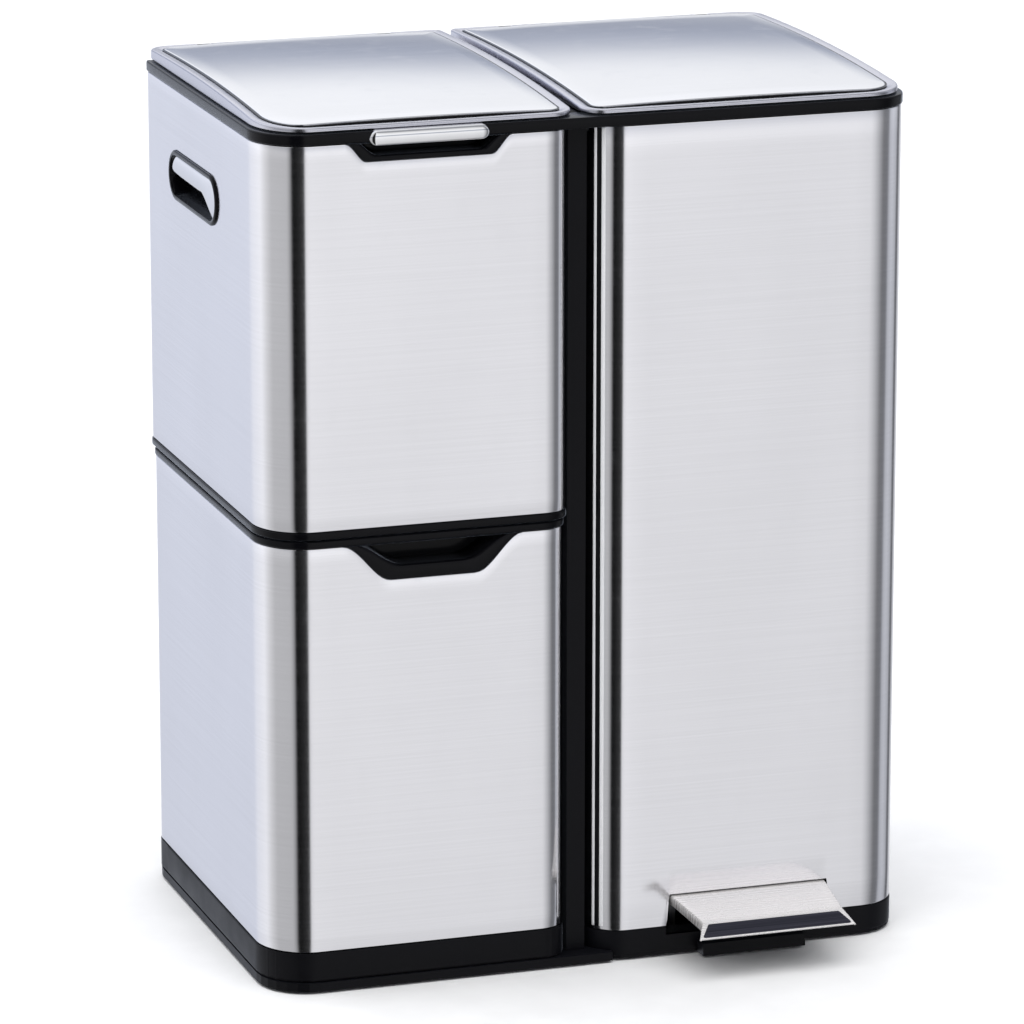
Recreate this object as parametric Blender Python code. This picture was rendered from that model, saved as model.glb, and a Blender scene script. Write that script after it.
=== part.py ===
"""Three-compartment step bin in brushed steel and black plastic.

The right column is one tall compartment whose lid a foot pedal lifts through
a lever, a vertical lift rod and a crank on the lid. The left column carries an
upper compartment with a hand-lifted lid, above a drawer that slides forward.

Metres, +Z up, +X to the right, the front faces -Y. The origin is on the floor,
in the middle of the object's bounding box.
"""

import math

import bmesh
import bpy
from mathutils import Matrix, Vector

# Overall body
WIDTH = 0.4940
DEPTH = 0.3300
BODY_HEIGHT = 0.6390  # floor to the top of the collar
LEFT_COLUMN = 0.2300  # width of the left column
GROOVE = 0.0165  # gap between the two columns
BAND_PROUD = 0.0008  # how far the collar and the middle trim stand out of the steel

# Corner radii, seen from above
R_LEFT_FRONT = 0.0380
R_RIGHT_FRONT = 0.0340
R_REAR = 0.0220
R_GROOVE_LEFT = 0.0160
R_GROOVE_RIGHT = 0.0300
R_GROOVE_REAR = 0.0080

# Walls and fits
SHEET = 0.0006  # steel shells
WALL = 0.0020  # plastic buckets and bands
GAP = 0.0003  # between pieces that touch
SLIDE = 0.0010  # beside and under sliding pieces
ROUND_STEPS = 7  # segments in a quarter turn of a shell corner
TIGHT_RADIUS = 0.0010  # smallest corner radius in plan
BAR_STEPS = 20  # segments round a bar, a bore or a foot
PIN_STEPS = 12  # segments round a pin or a screw
ARCH_COLUMNS = 8  # cells across a lid
ARCH_ROWS = 14  # cells along a lid

# Base and feet
FOOT_STAND = 0.0020  # base above the floor
FOOT_RADIUS = 0.0110
FOOT_HEIGHT = 0.0050
FOOT_INSET = 0.0420
LEDGE = 0.0065  # thickness of the base plate under the left column
LEDGE_PROUD = 0.0020
LEDGE_PAST_GROOVE = 0.0165  # how far the ledge runs under the right column
LEDGE_REAR_RADIUS = 0.0340
PLINTH = 0.0210  # height of the base under the right column
PLINTH_WALL = 0.0040
UPSTAND = 0.0340  # plinth wall inside the steel shell
UPSTAND_WALL = 0.0030

# Drawer and the split between the left compartments
DRAWER_BASE = 0.0215  # height of the drawer's black bottom
DRAWER_FRONT = 0.3105  # drawer base top to the top of its rim
DRAWER_RIM = 0.0050
DRAWER_REAR_GAP = 0.0080
DRAWER_NARROW = 0.0020  # the drawer is this much narrower than the column
RIM_CLEARANCE = 0.0012
MID_TRIM = 0.0053
TRIM_FLANGE = 0.0140
TRIM_UPSTAND = 0.0120
SHELF = 0.0040
RAIL_WIDTH = 0.0080
RAIL_HEIGHT = 0.0060
RAIL_INSET = 0.0480
RAIL_END_GAP = 0.0300

# Drawer grip, a scoop that dips from the rim
GRIP_OFFSET = 0.0100  # to the right of the column's middle
GRIP_TOP_WIDTH = 0.1290
GRIP_FLAT_WIDTH = 0.0665
GRIP_DROP = 0.0270
GRIP_LIP = 0.0100
GRIP_DEPTH = 0.0220
GRIP_UNDERCUT = 0.0060
GRIP_SIDE = 0.0080

# Collar and lids
COLLAR = 0.0080
COLLAR_WIDTH = 0.0200
COLLAR_SKIRT = 0.0120
COLLAR_HINGE_RECESS = 0.0030
LID_LIFT = 0.0008  # lid above the collar
LID_INSET = 0.0030
LID_SPLIT = 0.0070  # gap between the two lids
LID_FRONT_EDGE = 0.0030  # lid height above its underside at the front
LID_CROWN = 0.0095
LID_REAR_EDGE = 0.0065
LID_CROWN_AT = 0.58  # place of the crown, as a share of the lid's depth
LID_DOME = 0.0018  # extra height of the steel panel at the middle of its width
LID_CORNER_AT_SPLIT = 0.0180
PANEL_INSET = 0.0090
PANEL_REAR_INSET = 0.0120
PANEL_SHEET = 0.0008
LID_TRAVEL = 76.0  # degrees

# Lid hinges
HINGE_FROM_LID_REAR = 0.0050
LID_REAR_INSET = 0.0020
PIN_RADIUS = 0.0015
PIN_CLEARANCE = 0.0004
PIN_REACH = 0.0070  # into the lid on each side of a bracket
BRACKET_WIDTH = 0.0100
BRACKET_REACH = 0.0040
BRACKET_INSET = 0.0450
NOTCH_CLEARANCE = 0.0014

# Front lip of the hand-lifted lid, with its pocket
LIP_OFFSET = 0.0080  # to the right of the column's middle
LIP_LENGTH = 0.0880
LIP_HEIGHT = 0.0105
LIP_DEPTH = 0.0120
POCKET_TOP_MARGIN = 0.0155  # past each end of the lip
POCKET_BOTTOM_MARGIN = 0.0015
POCKET_DROP = 0.0130
POCKET_DEPTH = 0.0180
POCKET_WALL = 0.0040
POCKET_PROUD = 0.0010

# Side handles
HANDLE_FROM_FRONT = 0.1845
HANDLE_LENGTH = 0.1300
HANDLE_HEIGHT = 0.0380
HANDLE_BELOW_SHELL_TOP = 0.0640
HANDLE_DEPTH = 0.0150
HANDLE_RIM = 0.0050
HANDLE_PROUD = 0.0020
HOOD_HEIGHT = 0.0150
HOOD_THICKNESS = 0.0030

# Pedal, lever and lift rod
PEDAL_REACH = 0.0650
PEDAL_WIDTH = 0.1240
PEDAL_RIDGE_WIDTH = 0.1110
PEDAL_ROOT_RISE = 0.0165  # above the pivot
PEDAL_RIDGE_RISE = 0.0110
PEDAL_RIDGE_AT = 0.0520
PEDAL_FRONT_RISE = 0.0020
PEDAL_SKIRT = 0.0070
PEDAL_SHEET = 0.0015
PEDAL_TAIL = 0.0080  # how far the pedal runs in behind the front
PEDAL_SIDE_GAP = 0.0030
PEDAL_TOP_GAP = 0.0030
PEDAL_SLOT_FLOOR = 0.0170
TOE_WIDTH = 0.0810
TOE_REACH = 0.0140
TOE_HEIGHT = 0.0095
PIVOT_FROM_FRONT = 0.0600
LEVER_FLOOR_GAP = 0.0037  # lever tail at rest, above the base
LEVER_THICKNESS = 0.0040
LEVER_FRONT_WIDTH = 0.0400
LEVER_REAR_WIDTH = 0.0180
LEVER_FRONT_REACH = 0.0880  # ahead of the pivot
LEVER_TAIL = 0.0100  # past the lift rod
BOSS_RADIUS = 0.0070
AXLE_RADIUS = 0.0040
AXLE_CLEARANCE = 0.0004
AXLE_LENGTH = 0.0980
AXLE_BRACKET = 0.0050
AXLE_BRACKET_HALF = 0.0090
AXLE_BRACKET_AT = 0.0420
CRANK_RADIUS = 0.0300
CRANK_WIDTH = 0.0100
CRANK_TIP = 0.0030
ROD_RADIUS = 0.0040
ROD_CLEARANCE = 0.0006
LIFT_CLEARANCE = 0.0015  # rod to crank, and rod to lever
ROD_HEAD = 0.0060
ROD_HEAD_WIDTH = 0.0120
ROD_HEAD_DEPTH = 0.0150
GUIDE_HEIGHT = 0.0200
GUIDE_WIDTH = 0.0240
GUIDE_FRONT_WALL = 0.0080
GUIDE_LOW_ABOVE_FLOOR = 0.0880
GUIDE_HIGH_BELOW_TOP = 0.0910

# Buckets
BUCKET_CLEARANCE = 0.0015  # to the grip, the pocket and the handle cups
BUCKET_REAR_CLEARANCE = 0.0120  # rear of the right bucket to the rod
BUCKET_TAPER = 0.0060
BUCKET_RIM = 0.0040
BUCKET_BELOW_COLLAR_TOP = 0.0120
BUCKET_UNDER_TRIM = 0.0130
BAIL_RADIUS = 0.0020
FLOOR_PLATE = 0.0030

# Centre frame in the groove
FRAME_CLEARANCE = 0.0004  # to the middle trim beside it
FRAME_SETBACK = 0.0120

# Rear panel and its screws
REAR_PANEL = 0.0045
SCREW_RADIUS = 0.0019
SCREW_HEAD_RADIUS = 0.0035
SCREW_HEAD = 0.0010
SCREW_INSET = 0.0180

# Places worked out from the sizes above
LEFT = -WIDTH / 2
RIGHT = WIDTH / 2
FRONT = -(DEPTH + BAND_PROUD - PEDAL_REACH) / 2
REAR = FRONT + DEPTH
SPLIT_LEFT = LEFT + LEFT_COLUMN
SPLIT_RIGHT = SPLIT_LEFT + GROOVE
LEDGE_TOP = FOOT_STAND + LEDGE
PLINTH_TOP = FOOT_STAND + PLINTH
DRAWER_BOTTOM = LEDGE_TOP + SLIDE
DRAWER_BASE_TOP = DRAWER_BOTTOM + DRAWER_BASE
DRAWER_RIM_TOP = DRAWER_BASE_TOP + DRAWER_FRONT
DRAWER_SHELL_TOP = DRAWER_RIM_TOP - DRAWER_RIM
DRAWER_REAR = REAR - DRAWER_REAR_GAP
TRIM_BOTTOM = DRAWER_RIM_TOP + RIM_CLEARANCE
TRIM_TOP = TRIM_BOTTOM + MID_TRIM
SHELL_TOP = BODY_HEIGHT - COLLAR
LEDGE_RUN = LEFT_COLUMN + GROOVE + LEDGE_PAST_GROOVE
LIP_X = LEFT + LEFT_COLUMN / 2 + LIP_OFFSET
GRIP_X = LEFT + LEFT_COLUMN / 2 + GRIP_OFFSET
POCKET_TOP_WIDTH = LIP_LENGTH + 2 * POCKET_TOP_MARGIN
POCKET_BOTTOM_WIDTH = LIP_LENGTH + 2 * POCKET_BOTTOM_MARGIN
HANDLE_Z = SHELL_TOP - HANDLE_BELOW_SHELL_TOP
BUCKET_INSET = max(GRIP_DEPTH, POCKET_DEPTH, HANDLE_DEPTH) + BUCKET_RIM + BUCKET_CLEARANCE
LID_BOTTOM = BODY_HEIGHT + LID_LIFT
LID_FRONT = FRONT + LID_INSET
LID_REAR = REAR - LID_REAR_INSET
LID_MIDDLE = (SPLIT_LEFT + SPLIT_RIGHT) / 2
HINGE_Y = LID_REAR - HINGE_FROM_LID_REAR
HINGE_Z = LID_BOTTOM + LID_REAR_EDGE / 2
PEDAL_X = (SPLIT_RIGHT + RIGHT) / 2
PIVOT_Y = FRONT + PIVOT_FROM_FRONT
HALF_TRAVEL = math.radians(LID_TRAVEL) / 2
CRANK_OUT = CRANK_RADIUS * math.cos(HALF_TRAVEL)
CRANK_DROP = CRANK_RADIUS * math.sin(HALF_TRAVEL)
ROD_Y = HINGE_Y - (CRANK_OUT + CRANK_RADIUS) / 2
REAR_ARM = ROD_Y - PIVOT_Y
PEDAL_HALF_TRAVEL = math.asin(CRANK_DROP / REAR_ARM)
LEVER_TAIL_DROP = (REAR_ARM + LEVER_TAIL) * math.sin(PEDAL_HALF_TRAVEL)
LEVER_HALF_HEIGHT = LEVER_THICKNESS / 2 / math.cos(PEDAL_HALF_TRAVEL)
PIVOT_Z = FOOT_STAND + PLINTH_WALL + LEVER_FLOOR_GAP + LEVER_TAIL_DROP + LEVER_HALF_HEIGHT
PEDAL_ROOT_Z = PIVOT_Z + PEDAL_ROOT_RISE
PEDAL_RIDGE_Z = PIVOT_Z + PEDAL_RIDGE_RISE
PEDAL_FRONT_Z = PIVOT_Z + PEDAL_FRONT_RISE
ROD_TOP = HINGE_Z - CRANK_DROP - CRANK_TIP - LIFT_CLEARANCE
LEVER_TIP_Z = PIVOT_Z - CRANK_DROP
ROD_BOTTOM = LEVER_TIP_Z + LEVER_HALF_HEIGHT + LIFT_CLEARANCE
FLOOR_Z = PLINTH_TOP + UPSTAND + GAP


def material(name, colour, roughness, metallic):
    """A Principled BSDF material of one plain colour."""
    made = bpy.data.materials.new(name)
    made.use_nodes = True
    shader = made.node_tree.nodes["Principled BSDF"]
    shader.inputs["Base Color"].default_value = (*colour, 1.0)
    shader.inputs["Roughness"].default_value = roughness
    shader.inputs["Metallic"].default_value = metallic
    made.diffuse_color = (*colour, 1.0)
    return made


def make_materials():
    """Every finish of the object, by name."""
    return {
        "steel": material("brushed_steel", (0.62, 0.62, 0.64), 0.30, 1.0),
        "chrome": material("chrome", (0.80, 0.80, 0.82), 0.08, 1.0),
        "gloss": material("gloss_black_plastic", (0.015, 0.015, 0.018), 0.15, 0.0),
        "matte": material("matte_black_plastic", (0.030, 0.030, 0.032), 0.55, 0.0),
        "bucket": material("grey_bucket_plastic", (0.16, 0.16, 0.17), 0.45, 0.0),
        "rubber": material("foot_rubber", (0.02, 0.02, 0.02), 0.85, 0.0),
        "zinc": material("zinc_plated_steel", (0.55, 0.55, 0.56), 0.35, 1.0),
    }


def arc(centre, radius, start, end, steps):
    """Points of an arc in a plane, angles in degrees."""
    points = []
    for step in range(steps + 1):
        angle = math.radians(start + (end - start) * step / steps)
        points.append((centre[0] + radius * math.cos(angle), centre[1] + radius * math.sin(angle)))
    return points


class Plan:
    """A rectangle with four rounded corners, seen from above."""

    def __init__(self, x0, x1, y0, y1, front_left, front_right, rear_right, rear_left):
        self.x0, self.x1, self.y0, self.y1 = x0, x1, y0, y1
        self.radii = (front_left, front_right, rear_right, rear_left)

    def outline(self, inset=0.0, rear_inset=None):
        """Counter-clockwise points, starting at the left end of the front left corner."""
        rear = inset if rear_inset is None else rear_inset
        x0, x1 = self.x0 + inset, self.x1 - inset
        y0, y1 = self.y0 + inset, self.y1 - rear
        r = [max(radius - inset, TIGHT_RADIUS) for radius in self.radii]
        points = arc((x0 + r[0], y0 + r[0]), r[0], 180, 270, ROUND_STEPS)
        points += arc((x1 - r[1], y0 + r[1]), r[1], 270, 360, ROUND_STEPS)
        points += arc((x1 - r[2], y1 - r[2]), r[2], 0, 90, ROUND_STEPS)
        points += arc((x0 + r[3], y1 - r[3]), r[3], 90, 180, ROUND_STEPS)
        return points


LEFT_PLAN = Plan(LEFT, SPLIT_LEFT, FRONT, REAR, R_LEFT_FRONT, R_GROOVE_LEFT, R_GROOVE_REAR, R_REAR)
DRAWER_PLAN = Plan(
    LEFT, SPLIT_LEFT - DRAWER_NARROW, FRONT, DRAWER_REAR, R_LEFT_FRONT, R_GROOVE_LEFT, R_GROOVE_REAR, R_REAR
)
RIGHT_PLAN = Plan(
    SPLIT_RIGHT, RIGHT, FRONT, REAR, R_GROOVE_RIGHT, R_RIGHT_FRONT, R_REAR, R_GROOVE_REAR
)
BODY_PLAN = Plan(LEFT, RIGHT, FRONT, REAR, R_LEFT_FRONT, R_RIGHT_FRONT, R_REAR, R_REAR)
LEFT_LID_PLAN = Plan(
    LEFT + LID_INSET, LID_MIDDLE - LID_SPLIT / 2, LID_FRONT, LID_REAR,
    R_LEFT_FRONT - LID_INSET, LID_CORNER_AT_SPLIT, R_GROOVE_REAR, R_REAR - LID_INSET,
)
RIGHT_LID_PLAN = Plan(
    LID_MIDDLE + LID_SPLIT / 2, RIGHT - LID_INSET, LID_FRONT, LID_REAR,
    LID_CORNER_AT_SPLIT, R_RIGHT_FRONT - LID_INSET, R_REAR - LID_INSET, R_GROOVE_REAR,
)


def add_object(name, mesh_builder, finish=None, origin=(0.0, 0.0, 0.0)):
    """A mesh object from a bmesh in world space, with its origin moved to origin."""
    mesh_builder.normal_update()
    bmesh.ops.recalc_face_normals(mesh_builder, faces=mesh_builder.faces)
    bmesh.ops.translate(mesh_builder, verts=mesh_builder.verts, vec=-Vector(origin))
    mesh = bpy.data.meshes.new(name)
    mesh_builder.to_mesh(mesh)
    mesh_builder.free()
    made = bpy.data.objects.new(name, mesh)
    made.location = origin
    bpy.context.scene.collection.objects.link(made)
    if finish:
        mesh.materials.append(finish)
    return made


def loft(name, rings, finish=None, closed=False, origin=(0.0, 0.0, 0.0)):
    """A solid skinned over rings of equal length: capped at both ends, or closed round into a tube."""
    work = bmesh.new()
    rows = [[work.verts.new(point) for point in ring] for ring in rings]
    pairs = list(zip(rows, rows[1:]))
    if closed:
        pairs.append((rows[-1], rows[0]))
    for lower, upper in pairs:
        for index in range(len(lower)):
            after = (index + 1) % len(lower)
            work.faces.new((lower[index], lower[after], upper[after], upper[index]))
    if not closed:
        work.faces.new(rows[0])
        work.faces.new(rows[-1])
    return add_object(name, work, finish, origin)


def ring_at(points, z):
    """A flat ring of 3-D points at one height."""
    return [(x, y, z) for x, y in points]


def prism(name, points, z0, z1, finish=None, origin=(0.0, 0.0, 0.0)):
    """An outline in plan, extruded up."""
    return loft(name, [ring_at(points, z0), ring_at(points, z1)], finish, origin=origin)


def extrude_x(name, profile, x0, x1, finish=None, origin=(0.0, 0.0, 0.0)):
    """A side profile of (y, z) points, extruded along X."""
    return loft(name, [[(x, y, z) for y, z in profile] for x in (x0, x1)], finish, origin=origin)


def extrude_y(name, profile, y0, y1, finish=None, origin=(0.0, 0.0, 0.0)):
    """A front profile of (x, z) points, extruded along Y."""
    return loft(name, [[(x, y, z) for x, z in profile] for y in (y0, y1)], finish, origin=origin)


def box(name, x0, x1, y0, y1, z0, z1, finish=None, origin=(0.0, 0.0, 0.0)):
    """A rectangular block."""
    return prism(name, [(x0, y0), (x1, y0), (x1, y1), (x0, y1)], z0, z1, finish, origin)


def cylinder(name, axis, centre, radius, length, steps=BAR_STEPS, finish=None, origin=(0.0, 0.0, 0.0)):
    """A round bar centred on a point, along X, Y or Z."""
    circle = arc((0.0, 0.0), radius, 0, 360, steps)[:-1]
    rings = []
    for offset in (-length / 2, length / 2):
        if axis == "X":
            ring = [(offset, a, b) for a, b in circle]
        elif axis == "Y":
            ring = [(a, offset, b) for a, b in circle]
        else:
            ring = [(a, b, offset) for a, b in circle]
        rings.append([tuple(Vector(point) + Vector(centre)) for point in ring])
    made = loft(name, rings, finish, origin=origin)
    smooth(made)
    return made


def smooth(made, angle=40.0):
    """Smooth shading, with edges sharper than the angle left sharp."""
    made.data.shade_smooth()
    made.data.set_sharp_from_angle(angle=math.radians(angle))


def combine(target, operation, *tools):
    """Boolean modifiers on target, one for each tool, which becomes a hidden helper."""
    for tool in tools:
        modifier = target.modifiers.new(f"{operation.lower()}_{tool.name}", "BOOLEAN")
        modifier.operation = operation
        modifier.solver = "EXACT"
        modifier.object = tool
        tool.hide_render = True
        tool.display_type = "WIRE"
    return target


def cut(target, *tools):
    return combine(target, "DIFFERENCE", *tools)


def join(target, *tools):
    return combine(target, "UNION", *tools)


def keep_inside(target, *tools):
    return combine(target, "INTERSECT", *tools)


def shell_tube(name, plan, z0, z1, finish):
    """A thin steel wall that follows a plan, open at the top and at the bottom."""
    outer, inner = plan.outline(), plan.outline(SHEET)
    rings = [ring_at(outer, z0), ring_at(outer, z1), ring_at(inner, z1), ring_at(inner, z0)]
    made = loft(name, rings, finish, closed=True)
    smooth(made, 20)
    return made


def trapezoid(centre, top_width, bottom_width, top, bottom):
    """A front profile that narrows downward."""
    return [
        (centre - top_width / 2, top),
        (centre - bottom_width / 2, bottom),
        (centre + bottom_width / 2, bottom),
        (centre + top_width / 2, top),
    ]


def clear_trapezoid(centre, top_width, bottom_width, top, bottom, margin, rise=0.0):
    """The trapezoid grown by a margin on its sides and underside, with its sides run on upward by rise."""
    slope = (top_width - bottom_width) / (top - bottom)
    sideways = 2 * margin * math.hypot(1.0, slope / 2)
    return trapezoid(
        centre, top_width + slope * rise + sideways, bottom_width - slope * margin + sideways, top + rise,
        bottom - margin,
    )


def stadium(centre, length, height, steps=8):
    """A flat oval of (a, b) points with round ends."""
    radius = height / 2
    reach = length / 2 - radius
    points = arc((centre[0] + reach, centre[1]), radius, -90, 90, steps)
    points += arc((centre[0] - reach, centre[1]), radius, 90, 270, steps)
    return points


def lid_height(y):
    """Height of a lid's top above its underside: two parabolas that meet at the crown."""
    crown_y = LID_FRONT + (LID_REAR - LID_FRONT) * LID_CROWN_AT
    if y < crown_y:
        edge, share = LID_FRONT_EDGE, (crown_y - y) / (crown_y - LID_FRONT)
    else:
        edge, share = LID_REAR_EDGE, (y - crown_y) / (LID_REAR - crown_y)
    return LID_CROWN - (LID_CROWN - edge) * share * share


def arched_block(name, plan, floor, ceiling, finish=None):
    """A block over a plan's rectangle, whose underside and top are functions of x and y."""
    columns, rows = ARCH_COLUMNS, ARCH_ROWS
    x0, x1 = plan.x0 - WALL, plan.x1 + WALL
    y0, y1 = plan.y0 - WALL, plan.y1 + WALL
    xs = [x0 + (x1 - x0) * i / columns for i in range(columns + 1)]
    ys = [y0 + (y1 - y0) * j / rows for j in range(rows + 1)]
    work = bmesh.new()
    low = [[work.verts.new((x, y, floor(x, y))) for x in xs] for y in ys]
    high = [[work.verts.new((x, y, ceiling(x, y))) for x in xs] for y in ys]
    for j in range(rows):
        for i in range(columns):
            work.faces.new((low[j][i], low[j + 1][i], low[j + 1][i + 1], low[j][i + 1]))
            work.faces.new((high[j][i], high[j][i + 1], high[j + 1][i + 1], high[j + 1][i]))
    for j in range(rows):
        work.faces.new((low[j][0], high[j][0], high[j + 1][0], low[j + 1][0]))
        work.faces.new((low[j][-1], low[j + 1][-1], high[j + 1][-1], high[j][-1]))
    for i in range(columns):
        work.faces.new((low[0][i], low[0][i + 1], high[0][i + 1], high[0][i]))
        work.faces.new((low[-1][i], high[-1][i], high[-1][i + 1], low[-1][i + 1]))
    return add_object(name, work, finish)


def build_base(finishes):
    """Base plate with the drawer's ledge, the right plinth, the anti-tip toe and the six feet."""
    ledge_plan = Plan(
        LEFT - BAND_PROUD, LEFT + LEDGE_RUN, FRONT - LEDGE_PROUD, REAR - GAP,
        R_LEFT_FRONT, TIGHT_RADIUS, TIGHT_RADIUS, LEDGE_REAR_RADIUS,
    )
    base = prism("base", ledge_plan.outline(), FOOT_STAND, LEDGE_TOP, finishes["matte"])
    plinth = prism("base_plinth_form", RIGHT_PLAN.outline(), FOOT_STAND, PLINTH_TOP)
    upstand = prism("base_upstand_form", RIGHT_PLAN.outline(SHEET + GAP), LEDGE_TOP, PLINTH_TOP + UPSTAND)
    well_inset = SHEET + GAP + UPSTAND_WALL
    well = prism(
        "base_well_cutter", RIGHT_PLAN.outline(well_inset), FOOT_STAND + PLINTH_WALL, FLOOR_Z + UPSTAND
    )
    toe = box(
        "base_toe_form", PEDAL_X - TOE_WIDTH / 2, PEDAL_X + TOE_WIDTH / 2,
        FRONT - TOE_REACH, FRONT + PLINTH_WALL, FOOT_STAND, FOOT_STAND + TOE_HEIGHT,
    )
    slot_half = PEDAL_WIDTH / 2 + PEDAL_SIDE_GAP
    slot = box(
        "base_slot_cutter", PEDAL_X - slot_half, PEDAL_X + slot_half,
        FRONT - TOE_REACH, FRONT + well_inset + PLINTH_WALL, PEDAL_SLOT_FLOOR, FLOOR_Z + UPSTAND,
    )
    join(base, plinth, upstand, toe)
    cut(base, well, slot)
    columns = (LEFT + FOOT_INSET, LEFT + LEDGE_RUN - FOOT_RADIUS - FOOT_INSET / 2, RIGHT - FOOT_INSET)
    rows = (FRONT + FOOT_INSET, REAR - FOOT_INSET)
    number = 0
    for x in columns:
        for y in rows:
            number += 1
            pocket_top = FOOT_HEIGHT + GAP
            pocket = cylinder(
                f"foot_{number}_pocket_cutter", "Z", (x, y, pocket_top / 2), FOOT_RADIUS + GAP, pocket_top
            )
            cut(base, pocket)
            cylinder(
                f"foot_{number}", "Z", (x, y, FOOT_HEIGHT / 2), FOOT_RADIUS, FOOT_HEIGHT, BAR_STEPS,
                finishes["rubber"],
            )


def build_left_column(finishes):
    """The fixed pieces of the left column: upper shell, trim, shelf, rear panel and centre frame."""
    upper = shell_tube("upper_left_shell", LEFT_PLAN, TRIM_TOP + GAP, SHELL_TOP - GAP, finishes["steel"])
    pocket_hole = extrude_y(
        "upper_shell_pocket_cutter",
        clear_trapezoid(
            LIP_X, POCKET_TOP_WIDTH, POCKET_BOTTOM_WIDTH, SHELL_TOP, SHELL_TOP - POCKET_DROP, GAP,
            COLLAR,
        ),
        FRONT - POCKET_DEPTH, FRONT + POCKET_DEPTH / 2,
    )
    cut(upper, pocket_hole, handle_hole("left", LEFT))

    outline, wall = LEFT_PLAN.outline, SHEET + GAP
    rings = [
        ring_at(outline(-BAND_PROUD), TRIM_BOTTOM),
        ring_at(outline(-BAND_PROUD), TRIM_TOP),
        ring_at(outline(wall), TRIM_TOP),
        ring_at(outline(wall), TRIM_TOP + TRIM_UPSTAND),
        ring_at(outline(wall + WALL), TRIM_TOP + TRIM_UPSTAND),
        ring_at(outline(wall + WALL), TRIM_TOP),
        ring_at(outline(TRIM_FLANGE), TRIM_TOP),
        ring_at(outline(TRIM_FLANGE), TRIM_BOTTOM),
    ]
    smooth(loft("middle_trim", rings, finishes["gloss"], closed=True), 20)
    prism(
        "upper_shelf", outline(wall + WALL + GAP), TRIM_TOP + GAP, TRIM_TOP + GAP + SHELF, finishes["matte"]
    )

    panel_rear = REAR - SCREW_HEAD
    rear_panel = box(
        "rear_panel", LEFT + R_REAR, SPLIT_LEFT, panel_rear - REAR_PANEL, panel_rear,
        LEDGE_TOP + GAP, TRIM_BOTTOM - GAP, finishes["matte"],
    )
    number = 0
    for x in (LEFT + R_REAR + SCREW_INSET, SPLIT_LEFT - SCREW_INSET):
        for z in (LEDGE_TOP + SCREW_INSET, TRIM_BOTTOM - SCREW_INSET):
            number += 1
            middle = panel_rear - REAR_PANEL / 2
            hole = cylinder(
                f"rear_screw_{number}_cutter", "Y", (x, middle, z), SCREW_RADIUS + GAP, 2 * REAR_PANEL,
                PIN_STEPS,
            )
            cut(rear_panel, hole)
            screw = cylinder(
                f"rear_screw_{number}", "Y", (x, middle, z), SCREW_RADIUS, REAR_PANEL, PIN_STEPS,
                finishes["zinc"],
            )
            head_y = panel_rear + GAP + SCREW_HEAD / 2
            head = cylinder(
                f"rear_screw_{number}_head_form", "Y", (x, head_y - GAP / 2, z), SCREW_HEAD_RADIUS,
                SCREW_HEAD - GAP, PIN_STEPS,
            )
            neck = cylinder(
                f"rear_screw_{number}_neck_form", "Y", (x, panel_rear, z), SCREW_RADIUS,
                2 * GAP + SCREW_HEAD, PIN_STEPS,
            )
            join(screw, neck, head)

    side = BAND_PROUD + FRAME_CLEARANCE
    frame_front, frame_rear = FRONT + FRAME_SETBACK, REAR - WALL
    frame = box(
        "centre_frame", SPLIT_LEFT + side, SPLIT_RIGHT - side, frame_front, frame_rear,
        LEDGE_TOP + GAP, SHELL_TOP - GAP, finishes["matte"],
    )
    channel = box(
        "centre_frame_cutter", SPLIT_LEFT + side + WALL, SPLIT_RIGHT - side - WALL, frame_front + WALL,
        frame_rear + WALL, LEDGE_TOP + GAP + WALL, SHELL_TOP - GAP - WALL,
    )
    cut(frame, channel)
    rail_front, rail_rear = FRONT + RAIL_END_GAP, DRAWER_REAR - RAIL_END_GAP
    for name, x in (("left", LEFT + RAIL_INSET), ("right", SPLIT_LEFT - RAIL_INSET)):
        box(
            f"drawer_rail_{name}", x - RAIL_WIDTH / 2, x + RAIL_WIDTH / 2, rail_front, rail_rear,
            LEDGE_TOP + GAP, LEDGE_TOP + RAIL_HEIGHT, finishes["zinc"],
        )


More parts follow.
